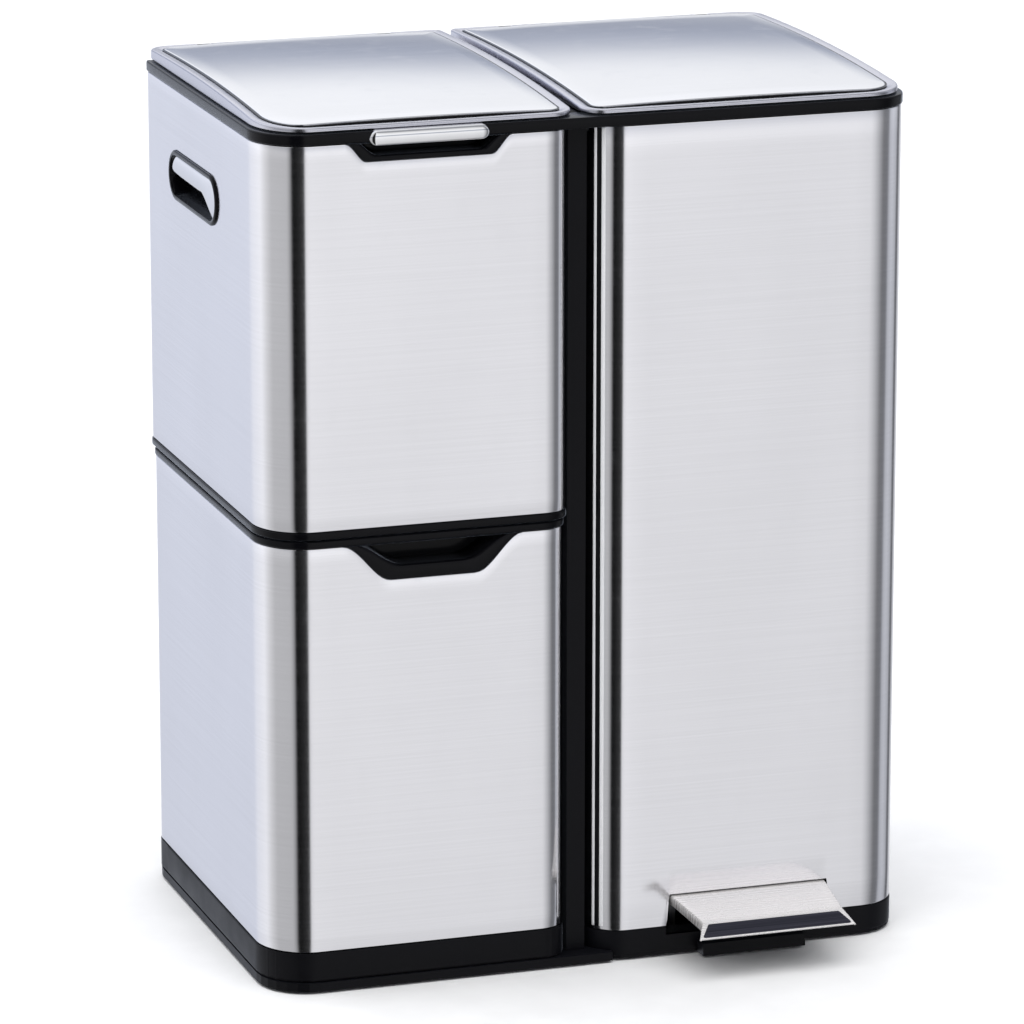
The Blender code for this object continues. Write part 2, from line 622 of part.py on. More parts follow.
def build_drawer(finishes):
    """The sliding drawer: base, steel shell, rim with its scoop grip."""
    outline = DRAWER_PLAN.outline
    base = prism("drawer_base", outline(-BAND_PROUD / 2), DRAWER_BOTTOM, DRAWER_BASE_TOP, finishes["matte"])
    for name, x in (("left", LEFT + RAIL_INSET), ("right", SPLIT_LEFT - RAIL_INSET)):
        half = RAIL_WIDTH / 2 + SLIDE
        groove = box(
            f"drawer_groove_{name}_cutter", x - half, x + half, FRONT + RAIL_END_GAP - SLIDE, REAR,
            DRAWER_BOTTOM - SLIDE, LEDGE_TOP + RAIL_HEIGHT + SLIDE,
        )
        cut(base, groove)
    hollow_margin = RAIL_INSET + RAIL_WIDTH
    hollow = box(
        "drawer_base_cutter", LEFT + hollow_margin, SPLIT_LEFT - hollow_margin, FRONT + RAIL_END_GAP,
        DRAWER_REAR - RAIL_END_GAP, DRAWER_BOTTOM - SLIDE, DRAWER_BASE_TOP - UPSTAND_WALL,
    )
    cut(base, hollow)

    shell = shell_tube(
        "drawer_shell", DRAWER_PLAN, DRAWER_BASE_TOP + GAP, DRAWER_SHELL_TOP - GAP, finishes["steel"]
    )
    grip_bottom = DRAWER_SHELL_TOP - GRIP_DROP
    shell_notch = extrude_y(
        "drawer_shell_grip_cutter",
        clear_trapezoid(
            GRIP_X, GRIP_TOP_WIDTH, GRIP_FLAT_WIDTH, DRAWER_SHELL_TOP, grip_bottom, GAP, DRAWER_RIM
        ),
        FRONT - GRIP_DEPTH, FRONT + GRIP_DEPTH / 2,
    )
    cut(shell, shell_notch)

    wall = SHEET + GAP
    rings = [
        ring_at(outline(-BAND_PROUD), DRAWER_SHELL_TOP),
        ring_at(outline(-BAND_PROUD), DRAWER_RIM_TOP),
        ring_at(outline(TRIM_FLANGE), DRAWER_RIM_TOP),
        ring_at(outline(TRIM_FLANGE), DRAWER_SHELL_TOP),
        ring_at(outline(wall + WALL), DRAWER_SHELL_TOP),
        ring_at(outline(wall + WALL), DRAWER_SHELL_TOP - TRIM_UPSTAND),
        ring_at(outline(wall), DRAWER_SHELL_TOP - TRIM_UPSTAND),
        ring_at(outline(wall), DRAWER_SHELL_TOP),
    ]
    rim = loft("drawer_rim", rings, finishes["gloss"], closed=True)
    smooth(rim, 20)
    housing = extrude_y(
        "drawer_grip_form",
        trapezoid(GRIP_X, GRIP_TOP_WIDTH, GRIP_FLAT_WIDTH, DRAWER_SHELL_TOP + GAP, grip_bottom),
        FRONT - BAND_PROUD, FRONT + GRIP_DEPTH,
    )
    inner_top = GRIP_TOP_WIDTH - 2 * GRIP_SIDE
    lip_z = grip_bottom + GRIP_LIP
    scoop = extrude_y(
        "drawer_scoop_cutter",
        trapezoid(GRIP_X, inner_top, GRIP_FLAT_WIDTH, DRAWER_RIM_TOP + DRAWER_RIM, lip_z),
        FRONT - GRIP_DEPTH, FRONT + GRIP_DEPTH - WALL,
    )
    undercut = box(
        "drawer_undercut_cutter", GRIP_X - GRIP_FLAT_WIDTH / 2, GRIP_X + GRIP_FLAT_WIDTH / 2,
        FRONT + 2 * WALL, FRONT + GRIP_DEPTH - WALL, lip_z - GRIP_UNDERCUT, DRAWER_SHELL_TOP,
    )
    join(rim, housing)
    cut(rim, scoop, undercut)


def handle_hole(name, side_x):
    """The oval cutter that passes a side handle through a shell."""
    away = -1 if side_x < 0 else 1
    middle = (FRONT + HANDLE_FROM_FRONT, HANDLE_Z)
    size = 2 * GAP
    profile = stadium(middle, HANDLE_LENGTH + size, HANDLE_HEIGHT + size)
    x0, x1 = side_x - away * 2 * HANDLE_DEPTH, side_x + away * HANDLE_DEPTH
    return extrude_x(f"handle_{name}_hole_cutter", profile, min(x0, x1), max(x0, x1))


def build_handle(name, side_x, finishes):
    """A carrying handle: a black cup let into the side, with a bright hood over its upper half."""
    away = -1 if side_x < 0 else 1
    middle = (FRONT + HANDLE_FROM_FRONT, HANDLE_Z)
    outside = side_x + away * HANDLE_PROUD
    inside = side_x - away * HANDLE_DEPTH
    cup = extrude_x(
        f"handle_cup_{name}", stadium(middle, HANDLE_LENGTH, HANDLE_HEIGHT), min(outside, inside),
        max(outside, inside), finishes["gloss"],
    )
    floor = inside + away * WALL
    beyond = side_x + away * HANDLE_DEPTH
    hollow = extrude_x(
        f"handle_{name}_hollow_cutter",
        stadium(middle, HANDLE_LENGTH - 2 * HANDLE_RIM, HANDLE_HEIGHT - 2 * HANDLE_RIM),
        min(floor, beyond), max(floor, beyond),
    )
    cut(cup, hollow)
    fit = 2 * (HANDLE_RIM + GAP)
    hood_face = outside + away * -GAP
    hood_back = hood_face - away * HOOD_THICKNESS
    hood = extrude_x(
        f"handle_hood_{name}", stadium(middle, HANDLE_LENGTH - fit, HANDLE_HEIGHT - fit),
        min(hood_face, hood_back), max(hood_face, hood_back), finishes["chrome"],
    )
    hood_bottom = HANDLE_Z + HANDLE_HEIGHT / 2 - HANDLE_RIM - HOOD_HEIGHT
    lower = box(
        f"handle_{name}_hood_cutter", min(hood_face, hood_back) - WALL, max(hood_face, hood_back) + WALL,
        middle[0] - HANDLE_LENGTH, middle[0] + HANDLE_LENGTH, HANDLE_Z - HANDLE_HEIGHT, hood_bottom,
    )
    cut(hood, lower)


def build_right_column(finishes):
    """The tall steel shell, the floor plate and the rod guides."""
    shell = shell_tube("right_shell", RIGHT_PLAN, PLINTH_TOP + GAP, SHELL_TOP - GAP, finishes["steel"])
    half = PEDAL_WIDTH / 2 + PEDAL_SIDE_GAP
    opening = extrude_y(
        "right_shell_pedal_cutter",
        trapezoid(
            PEDAL_X, 2 * half - PEDAL_SKIRT, 2 * half, PEDAL_ROOT_Z + PEDAL_TOP_GAP, PLINTH_TOP - PLINTH_WALL
        ),
        FRONT - POCKET_DEPTH, FRONT + POCKET_DEPTH,
    )
    cut(shell, opening, handle_hole("right", RIGHT))

    floor = prism(
        "compartment_floor", RIGHT_PLAN.outline(SHEET + 2 * GAP), FLOOR_Z, FLOOR_Z + FLOOR_PLATE,
        finishes["matte"],
    )
    passage = cylinder(
        "floor_passage_cutter", "Z", (PEDAL_X, ROD_Y, FLOOR_Z), ROD_RADIUS + LIFT_CLEARANCE, 4 * FLOOR_PLATE
    )
    cut(floor, passage)

    for name, z in (("low", FLOOR_Z + GUIDE_LOW_ABOVE_FLOOR), ("high", SHELL_TOP - GUIDE_HIGH_BELOW_TOP)):
        guide = box(
            f"rod_guide_{name}", PEDAL_X - GUIDE_WIDTH / 2, PEDAL_X + GUIDE_WIDTH / 2,
            ROD_Y - GUIDE_FRONT_WALL, REAR - SHEET - GAP, z, z + GUIDE_HEIGHT, finishes["matte"],
        )
        bore = cylinder(
            f"rod_guide_{name}_cutter", "Z", (PEDAL_X, ROD_Y, z), ROD_RADIUS + ROD_CLEARANCE, 4 * GUIDE_HEIGHT
        )
        cut(guide, bore)


def build_collar(finishes):
    """The black collar on top of both columns, and the grip pocket that hangs from its front."""
    collar = prism("collar", BODY_PLAN.outline(-BAND_PROUD), SHELL_TOP, BODY_HEIGHT, finishes["gloss"])
    skirt_inset = SHEET + GAP
    skirts, openings = [], []
    for name, plan in (("left", LEFT_PLAN), ("right", RIGHT_PLAN)):
        skirts.append(
            prism(
                f"collar_{name}_skirt_form", plan.outline(skirt_inset), SHELL_TOP - COLLAR_SKIRT,
                BODY_HEIGHT - WALL,
            )
        )
        openings.append(
            prism(
                f"collar_{name}_opening_cutter", plan.outline(skirt_inset + WALL),
                SHELL_TOP - 2 * COLLAR_SKIRT, SHELL_TOP - WALL,
            )
        )
        openings.append(
            prism(
                f"collar_{name}_mouth_cutter", plan.outline(COLLAR_WIDTH), SHELL_TOP - COLLAR_SKIRT,
                BODY_HEIGHT + COLLAR,
            )
        )
    recess = box(
        "collar_hinge_recess_cutter", LEFT - WALL, RIGHT + WALL, HINGE_Y - HINGE_FROM_LID_REAR - 2 * WALL,
        REAR + WALL, BODY_HEIGHT - COLLAR_HINGE_RECESS, BODY_HEIGHT + COLLAR,
    )
    lip_room = LIP_LENGTH / 2 + 2 * SLIDE
    notch = box(
        "collar_lip_cutter", LIP_X - lip_room, LIP_X + lip_room, FRONT - WALL,
        FRONT + LIP_DEPTH + 2 * SLIDE, SHELL_TOP - GAP, BODY_HEIGHT + COLLAR,
    )
    seat = extrude_y(
        "collar_pocket_cutter",
        clear_trapezoid(
            LIP_X, POCKET_TOP_WIDTH, POCKET_BOTTOM_WIDTH, SHELL_TOP, SHELL_TOP - POCKET_DROP, GAP
        ),
        FRONT + GAP, FRONT + POCKET_DEPTH + GAP,
    )
    join(collar, *skirts)
    cut(collar, *openings, recess, notch, seat)

    pocket = extrude_y(
        "grip_pocket",
        trapezoid(LIP_X, POCKET_TOP_WIDTH, POCKET_BOTTOM_WIDTH, SHELL_TOP - GAP, SHELL_TOP - POCKET_DROP),
        FRONT - POCKET_PROUD, FRONT + POCKET_DEPTH, finishes["gloss"],
    )
    hollow = extrude_y(
        "grip_pocket_hollow_cutter",
        clear_trapezoid(
            LIP_X, LIP_LENGTH + 2 * POCKET_WALL, LIP_LENGTH - POCKET_WALL, SHELL_TOP,
            SHELL_TOP - POCKET_DROP + POCKET_WALL, 0.0, COLLAR,
        ),
        FRONT - POCKET_DEPTH, FRONT + POCKET_DEPTH - WALL,
    )
    cut(pocket, hollow)


def hinge_places(plan):
    return (plan.x0 + BRACKET_INSET, plan.x1 - BRACKET_INSET)


def build_lid(side, plan, finishes):
    """A lid: black frame with hinge bores, and a domed steel panel let into it."""
    origin = ((plan.x0 + plan.x1) / 2, HINGE_Y, HINGE_Z)

    def top(x, y):
        return LID_BOTTOM + lid_height(y)

    frame = arched_block(f"lid_frame_{side}", plan, lambda x, y: LID_BOTTOM, top, finishes["gloss"])
    frame.data.transform(Matrix.Translation(-Vector(origin)))
    frame.location = origin
    form = prism(f"lid_{side}_form", plan.outline(), LID_BOTTOM - LID_CROWN, LID_BOTTOM + 3 * LID_CROWN)
    keep_inside(frame, form)
    recess = arched_block(
        f"lid_{side}_recess_cutter", plan, lambda x, y: top(x, y) - PANEL_SHEET - GAP,
        lambda x, y: LID_BOTTOM + 3 * LID_CROWN,
    )
    recess_form = prism(
        f"lid_{side}_recess_form", plan.outline(PANEL_INSET, PANEL_REAR_INSET), LID_BOTTOM - LID_CROWN,
        LID_BOTTOM + 4 * LID_CROWN,
    )
    keep_inside(recess, recess_form)
    cut(frame, recess)

    middle, half = (plan.x0 + plan.x1) / 2, (plan.x1 - plan.x0) / 2

    def dome(x):
        share = min(abs(x - middle) / half, 1.0)
        return LID_DOME * (1.0 - share * share)

    panel = arched_block(
        f"lid_panel_{side}", plan, lambda x, y: top(x, y) - PANEL_SHEET + dome(x),
        lambda x, y: top(x, y) + dome(x), finishes["steel"],
    )
    panel.data.transform(Matrix.Translation(-Vector(origin)))
    panel.location = origin
    panel_form = prism(
        f"lid_{side}_panel_form", plan.outline(PANEL_INSET + GAP, PANEL_REAR_INSET + GAP),
        LID_BOTTOM - LID_CROWN, LID_BOTTOM + 4 * LID_CROWN,
    )
    keep_inside(panel, panel_form)
    smooth(panel, 30)

    bracket_bottom = BODY_HEIGHT - COLLAR_HINGE_RECESS + GAP
    bracket_top = HINGE_Z + LID_REAR_EDGE / 2 - GAP
    for number, x in enumerate(hinge_places(plan), 1):
        half_width = BRACKET_WIDTH / 2
        bracket = box(
            f"hinge_bracket_{side}_{number}", x - half_width, x + half_width, HINGE_Y - BRACKET_REACH,
            HINGE_Y + BRACKET_REACH, bracket_bottom, bracket_top, finishes["matte"],
        )
        bore = cylinder(
            f"hinge_{side}_{number}_bore_cutter", "X", (x, HINGE_Y, HINGE_Z), PIN_RADIUS + GAP,
            BRACKET_WIDTH + 4 * WALL, PIN_STEPS,
        )
        cut(bracket, bore)
        notch = box(
            f"hinge_{side}_{number}_notch_cutter", x - half_width - SLIDE, x + half_width + SLIDE,
            HINGE_Y - BRACKET_REACH - NOTCH_CLEARANCE, REAR + WALL, LID_BOTTOM - LID_CROWN,
            LID_BOTTOM + 3 * LID_CROWN,
        )
        socket_length = BRACKET_WIDTH + 2 * (PIN_REACH + SLIDE)
        socket = cylinder(
            f"hinge_{side}_{number}_socket_cutter", "X", (x, HINGE_Y, HINGE_Z), PIN_RADIUS + PIN_CLEARANCE,
            socket_length, PIN_STEPS,
        )
        cut(frame, notch, socket)
        cylinder(
            f"hinge_pin_{side}_{number}", "X", (x, HINGE_Y, HINGE_Z), PIN_RADIUS,
            BRACKET_WIDTH + 2 * PIN_REACH, PIN_STEPS, finishes["zinc"],
        )


def build_lid_lip(finishes):
    """The bright lip that lifts the left lid, hung under its front edge."""
    front, rear = FRONT - POCKET_PROUD, FRONT + LIP_DEPTH
    top = LID_BOTTOM - GAP
    profile = [
        (front + WALL, top),
        (front, top - WALL),
        (front + WALL / 2, top - LIP_HEIGHT),
        (front + 2 * WALL, top - LIP_HEIGHT),
        (front + 2 * WALL, top - LIP_HEIGHT / 2),
        (rear, top - LIP_HEIGHT / 2),
        (rear, top),
    ]
    origin = (LIP_X, HINGE_Y, HINGE_Z)
    half = LIP_LENGTH / 2
    lip = extrude_x("lid_lip", profile, LIP_X - half, LIP_X + half, finishes["chrome"], origin)
    smooth(lip, 30)


def build_mechanism(finishes):
    """Pedal, lever, axle with its brackets, lift rod with its head, and the crank under the right lid."""
    pivot = (PEDAL_X, PIVOT_Y, PIVOT_Z)
    tilt = Matrix.Translation(pivot) @ Matrix.Rotation(-PEDAL_HALF_TRAVEL, 4, "X")
    half_thick = LEVER_THICKNESS / 2
    tail = REAR_ARM + LEVER_TAIL
    plan = [
        (-LEVER_FRONT_WIDTH / 2, -LEVER_FRONT_REACH),
        (LEVER_FRONT_WIDTH / 2, -LEVER_FRONT_REACH),
        (LEVER_FRONT_WIDTH / 2, BOSS_RADIUS),
        (LEVER_REAR_WIDTH / 2, tail),
        (-LEVER_REAR_WIDTH / 2, tail),
        (-LEVER_FRONT_WIDTH / 2, BOSS_RADIUS),
    ]
    lever = prism("pedal_lever", plan, -half_thick, half_thick, finishes["zinc"])
    boss = cylinder("lever_boss_form", "X", (0, 0, 0), BOSS_RADIUS, LEVER_FRONT_WIDTH)
    bore = cylinder("lever_bore_cutter", "X", (0, 0, 0), AXLE_RADIUS + AXLE_CLEARANCE, 2 * LEVER_FRONT_WIDTH)
    join(lever, boss)
    cut(lever, bore)
    for piece in (lever, boss, bore):
        piece.matrix_world = tilt
    smooth(lever)

    cylinder("pedal_axle", "X", pivot, AXLE_RADIUS, AXLE_LENGTH, BAR_STEPS, finishes["zinc"])
    for name, side in (("left", -1), ("right", 1)):
        x = PEDAL_X + side * AXLE_BRACKET_AT
        bracket = box(
            f"axle_bracket_{name}", x - AXLE_BRACKET / 2, x + AXLE_BRACKET / 2, PIVOT_Y - AXLE_BRACKET_HALF,
            PIVOT_Y + AXLE_BRACKET_HALF, FOOT_STAND + PLINTH_WALL + GAP, PIVOT_Z + AXLE_BRACKET_HALF,
            finishes["zinc"],
        )
        hole = cylinder(
            f"axle_{name}_cutter", "X", (x, PIVOT_Y, PIVOT_Z), AXLE_RADIUS + GAP, 4 * AXLE_BRACKET
        )
        cut(bracket, hole)

    root, front = FRONT + PEDAL_TAIL, FRONT - PEDAL_REACH
    ridge = FRONT - PEDAL_RIDGE_AT
    stations = [
        (root, PEDAL_ROOT_Z, PEDAL_WIDTH / 2, PEDAL_SKIRT),
        (ridge, PEDAL_RIDGE_Z, PEDAL_RIDGE_WIDTH / 2, PEDAL_SKIRT),
        (front, PEDAL_FRONT_Z + PEDAL_SHEET, PEDAL_WIDTH / 2, PEDAL_SHEET + GAP),
    ]
    rings = []
    for y, z, half, skirt in stations:
        inner, under = half - PEDAL_SHEET, z - PEDAL_SHEET
        foot = z - skirt
        rings.append(
            [
                (PEDAL_X - half, y, foot), (PEDAL_X - half, y, z), (PEDAL_X + half, y, z),
                (PEDAL_X + half, y, foot), (PEDAL_X + inner, y, foot), (PEDAL_X + inner, y, under),
                (PEDAL_X - inner, y, under), (PEDAL_X - inner, y, foot),
            ]
        )
    loft("pedal_plate", rings, finishes["steel"], origin=pivot)

    fill = PEDAL_SHEET + 2 * GAP
    profile = [
        (root - GAP, PEDAL_FRONT_Z - GAP),
        (front + 4 * WALL, PEDAL_FRONT_Z - GAP),
        (ridge + GAP, PEDAL_RIDGE_Z - fill),
        (root - GAP, PEDAL_ROOT_Z - fill),
    ]
    width = PEDAL_RIDGE_WIDTH / 2 - PEDAL_SHEET - SLIDE
    body = extrude_x("pedal_body", profile, PEDAL_X - width, PEDAL_X + width, finishes["matte"], pivot)
    room = LEVER_FRONT_WIDTH / 2 + GAP
    slot = box(
        "pedal_slot_cutter", -room, room, -LEVER_FRONT_REACH - GAP, LEVER_FRONT_REACH,
        -half_thick - 4 * PEDAL_SKIRT, half_thick + GAP,
    )
    slot.matrix_world = tilt
    cut(body, slot)

    head_bottom = ROD_TOP - ROD_HEAD
    rod_length = head_bottom - GAP - ROD_BOTTOM
    rod_origin = (PEDAL_X, ROD_Y, ROD_BOTTOM)
    cylinder(
        "lift_rod", "Z", (PEDAL_X, ROD_Y, ROD_BOTTOM + rod_length / 2), ROD_RADIUS, rod_length, BAR_STEPS,
        finishes["zinc"], rod_origin,
    )
    box(
        "rod_head", PEDAL_X - ROD_HEAD_WIDTH / 2, PEDAL_X + ROD_HEAD_WIDTH / 2, ROD_Y - ROD_HEAD_DEPTH / 2,
        ROD_Y + ROD_HEAD_DEPTH / 2, head_bottom, ROD_TOP, finishes["matte"], rod_origin,
    )

    tip = (HINGE_Y - CRANK_OUT, HINGE_Z - CRANK_DROP)
    crank_top = LID_BOTTOM - GAP
    profile = arc(tip, CRANK_TIP, 180, 360, 8)
    profile += [(tip[0] + 2 * CRANK_TIP, crank_top), (tip[0] - 2 * CRANK_TIP, crank_top)]
    crank = extrude_x(
        "lid_crank", profile, PEDAL_X - CRANK_WIDTH / 2, PEDAL_X + CRANK_WIDTH / 2, finishes["zinc"],
        (PEDAL_X, HINGE_Y, HINGE_Z),
    )
    smooth(crank)


def build_bucket(name, plan, z0, z1, rear_inset, finishes):
    """A tapered open bucket with a rim, and its wire handle folded down on the rim."""
    def outline(extra):
        return plan.outline(BUCKET_INSET + extra, rear_inset + extra)

    rings = [
        ring_at(outline(BUCKET_TAPER), z0),
        ring_at(outline(0.0), z1 - 2 * WALL),
        ring_at(outline(-BUCKET_RIM), z1 - 2 * WALL),
        ring_at(outline(-BUCKET_RIM), z1),
        ring_at(outline(WALL), z1),
        ring_at(outline(BUCKET_TAPER + WALL), z0 + WALL),
    ]
    smooth(loft(name, rings, finishes["bucket"]), 20)

    path = outline(0.0)
    front = [point for point in path if point[1] < FRONT + DEPTH / 2]
    middle = FRONT + DEPTH / 2
    front = [(front[0][0], middle)] + front + [(front[-1][0], middle)]
    curve = bpy.data.curves.new(f"{name}_handle", "CURVE")
    curve.dimensions = "3D"
    curve.bevel_depth = BAIL_RADIUS
    curve.bevel_resolution = 1
    curve.use_fill_caps = True
    spline = curve.splines.new("POLY")
    spline.points.add(len(front) - 1)
    for point, (x, y) in zip(spline.points, front):
        point.co = (x, y, z1 + GAP + BAIL_RADIUS, 1.0)
    wire = bpy.data.objects.new(f"{name}_handle", curve)
    curve.materials.append(finishes["zinc"])
    bpy.context.scene.collection.objects.link(wire)


def build_buckets(finishes):
    """The three removable buckets."""
    top = BODY_HEIGHT - BUCKET_BELOW_COLLAR_TOP
    build_bucket("bucket_upper", LEFT_PLAN, TRIM_TOP + 2 * GAP + SHELF, top, BUCKET_INSET, finishes)
    rear_inset = REAR - ROD_Y + BUCKET_REAR_CLEARANCE
    build_bucket("bucket_right", RIGHT_PLAN, FLOOR_Z + FLOOR_PLATE + GAP, top, rear_inset, finishes)
    build_bucket(
        "bucket_drawer", DRAWER_PLAN, DRAWER_BASE_TOP + GAP, DRAWER_RIM_TOP - BUCKET_UNDER_TRIM, BUCKET_INSET,
        finishes,
    )


def main():
    for old in list(bpy.data.objects):
        bpy.data.objects.remove(old)
    finishes = make_materials()
    build_base(finishes)
    build_left_column(finishes)
    build_drawer(finishes)
    build_right_column(finishes)
    build_collar(finishes)
    build_lid("left", LEFT_LID_PLAN, finishes)
    build_lid("right", RIGHT_LID_PLAN, finishes)
    build_lid_lip(finishes)
    build_mechanism(finishes)
    build_buckets(finishes)
    build_handle("left", LEFT, finishes)
    build_handle("right", RIGHT, finishes)


main()
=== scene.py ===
"""Finished look of a three-compartment step bin in brushed steel and black plastic.

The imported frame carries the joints. This script lays finer skins over it, repaints
every part of the frame that stays in sight, and sets up the floor, the light and the
camera. Metres, +Z up, +X to the right, the front faces -Y.
"""

import logging
import math
from dataclasses import dataclass, field
from enum import Enum
from typing import Callable, Sequence

import bmesh
import bpy
import numpy as np
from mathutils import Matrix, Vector


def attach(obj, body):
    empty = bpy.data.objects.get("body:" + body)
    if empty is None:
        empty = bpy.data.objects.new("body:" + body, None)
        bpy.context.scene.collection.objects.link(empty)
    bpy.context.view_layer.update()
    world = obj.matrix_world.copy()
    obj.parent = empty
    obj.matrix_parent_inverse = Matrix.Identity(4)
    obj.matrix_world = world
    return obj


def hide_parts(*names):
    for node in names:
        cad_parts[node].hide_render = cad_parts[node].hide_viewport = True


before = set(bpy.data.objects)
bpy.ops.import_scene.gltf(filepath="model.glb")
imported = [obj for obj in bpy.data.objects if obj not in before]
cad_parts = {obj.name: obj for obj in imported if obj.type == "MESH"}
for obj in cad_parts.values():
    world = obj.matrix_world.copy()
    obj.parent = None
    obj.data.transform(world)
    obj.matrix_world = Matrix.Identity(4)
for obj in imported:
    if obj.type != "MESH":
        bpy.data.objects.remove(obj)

LOG = logging.getLogger("step_bin")

Array = np.ndarray
Colour = tuple[float, float, float]
Height = Callable[[Array, Array], Array]

BLACK = (0.0, 0.0, 0.0)

# Fineness of the surfaces
CORNER_STEPS = 18  # points in a quarter turn of a plan corner
SIDE_STEPS = 14  # points along a straight side
DIP_STEPS = 12  # points along each side of a dip
WELD = 2e-6  # points closer than this are one
SHARP = 38.0  # degrees, past which an edge is shaded as an edge

# The body, as the frame has it
LEFT, RIGHT = -0.2470, 0.2470
FRONT, REAR = -0.1329, 0.1971
SPLIT_LEFT, SPLIT_RIGHT = -0.0170, -0.0005
PLINTH_TOP = 0.0230
DRAWER_BOTTOM, DRAWER_BASE_TOP = 0.0095, 0.0310
DRAWER_SHELL_TOP, DRAWER_RIM_TOP = 0.3365, 0.3415
DRAWER_SIDE, DRAWER_REAR = -0.0190, 0.1891
TRIM_BOTTOM, TRIM_TOP = 0.3427, 0.3480
SHELL_TOP, BODY_TOP = 0.6310, 0.6390
LID_BOTTOM = 0.6398
LID_FRONT, LID_REAR = -0.1299, 0.1951
LID_MIDDLE, LID_SPLIT = -0.00875, 0.0070
HINGE_Y = 0.1901
PEDAL_X = 0.12325
LIP_X, GRIP_X = -0.1240, -0.1220
HANDLE_Y, HANDLE_Z = 0.0516, 0.5670
BAND_PROUD, BAND_INNER, BAND_EDGE = 0.0008, 0.0140, 0.0011
SHEET = 0.0006
GAP = 0.0003


class Face(Enum):
    """The side of a shell that a carrying handle is let into."""

    NONE = 0
    LEFT = -1
    RIGHT = 1


class Edge(Enum):
    """The edge of a shell that a dip is cut from."""

    TOP = 1
    BOTTOM = -1


class Grain(Enum):
    """How a surface was brushed, as noise scale along X, Y and Z."""

    ROUND = (5.0, 5.0, 1300.0)
    ACROSS = (5.0, 1300.0, 60.0)
    NONE = (60.0, 60.0, 60.0)


# ---------------------------------------------------------------- surfaces


@dataclass
class Skin:
    """Points and faces of one surface, kept as whole arrays.

    Attributes:
        points: (P, 3) places in the frame of the object.
        faces: arrays of point numbers, one row per face.
    """

    points: Array
    faces: list[Array] = field(default_factory=list)

    @staticmethod
    def over(rows: Array, around: bool = True, closed: bool = False) -> "Skin":
        """Quads over a grid of rows.

        Args:
            rows: (R, N, 3) points.
            around: joins the last point of each row to its first.
            closed: joins the last row to the first.
        Returns:
            The skin.
        """
        count, length = rows.shape[:2]
        i = np.arange(count if closed else count - 1)[:, None]
        j = np.arange(length if around else length - 1)[None, :]
        right, up = (j + 1) % length, (i + 1) % count
        quads = np.stack(
            [i * length + j, i * length + right, up * length + right, up * length + j], -1
        )
        return Skin(rows.reshape(-1, 3), [quads.reshape(-1, 4)])

    def cap(self, start: int, length: int) -> "Skin":
        """Closes a loop of neighbouring points with a fan to its middle.

        Args:
            start: number of the loop's first point.
            length: points in the loop.
        Returns:
            This skin, with the fan added.
        """
        loop = np.arange(start, start + length)
        middle = np.full(length, len(self.points))
        self.points = np.concatenate([self.points, self.points[loop].mean(0)[None]])
        self.faces.append(np.stack([loop, np.roll(loop, -1), middle], -1))
        return self

    @staticmethod
    def closed_over(rings: Array) -> "Skin":
        """Quads over a grid of (R, N, 3) rings, with a fan over the first and the last."""
        count, length = rings.shape[:2]
        return Skin.over(rings).cap(0, length).cap((count - 1) * length, length)

    def joined(self, *others: "Skin") -> "Skin":
        """This skin and the others as one."""
        points, faces = [self.points], list(self.faces)
        shift = len(self.points)
        for other in others:
            points.append(other.points)
            faces += [rows + shift for rows in other.faces]
            shift += len(other.points)
        return Skin(np.concatenate(points), faces)

    def make(self, name: str, finish: "Finish", wall: float = 0.0) -> bpy.types.Object:
        """Turns the skin into an object at the origin, smooth shaded, with its faces outward.

        Args:
            name: the object's name.
            finish: what it is covered with.
            wall: thickness grown inward, for an open skin.
        Returns:
            The object.
        """
        mesh = bpy.data.meshes.new(name)
        polygons = [row for rows in self.faces for row in rows.tolist()]
        mesh.from_pydata(self.points.tolist(), [], polygons)
        work = bmesh.new()
        work.from_mesh(mesh)
        bmesh.ops.remove_doubles(work, verts=work.verts, dist=WELD)
        bmesh.ops.recalc_face_normals(work, faces=work.faces)
        work.to_mesh(mesh)
        work.free()
        mesh.shade_smooth()
        mesh.set_sharp_from_angle(angle=math.radians(SHARP))
        mesh.materials.append(finish.material())
        made = bpy.data.objects.new(name, mesh)
        bpy.context.scene.collection.objects.link(made)
        if wall:
            solid = made.modifiers.new("sheet", "SOLIDIFY")
            solid.thickness = wall
            solid.offset = -1.0
        LOG.info("%s: %d points", name, len(mesh.vertices))
        return made


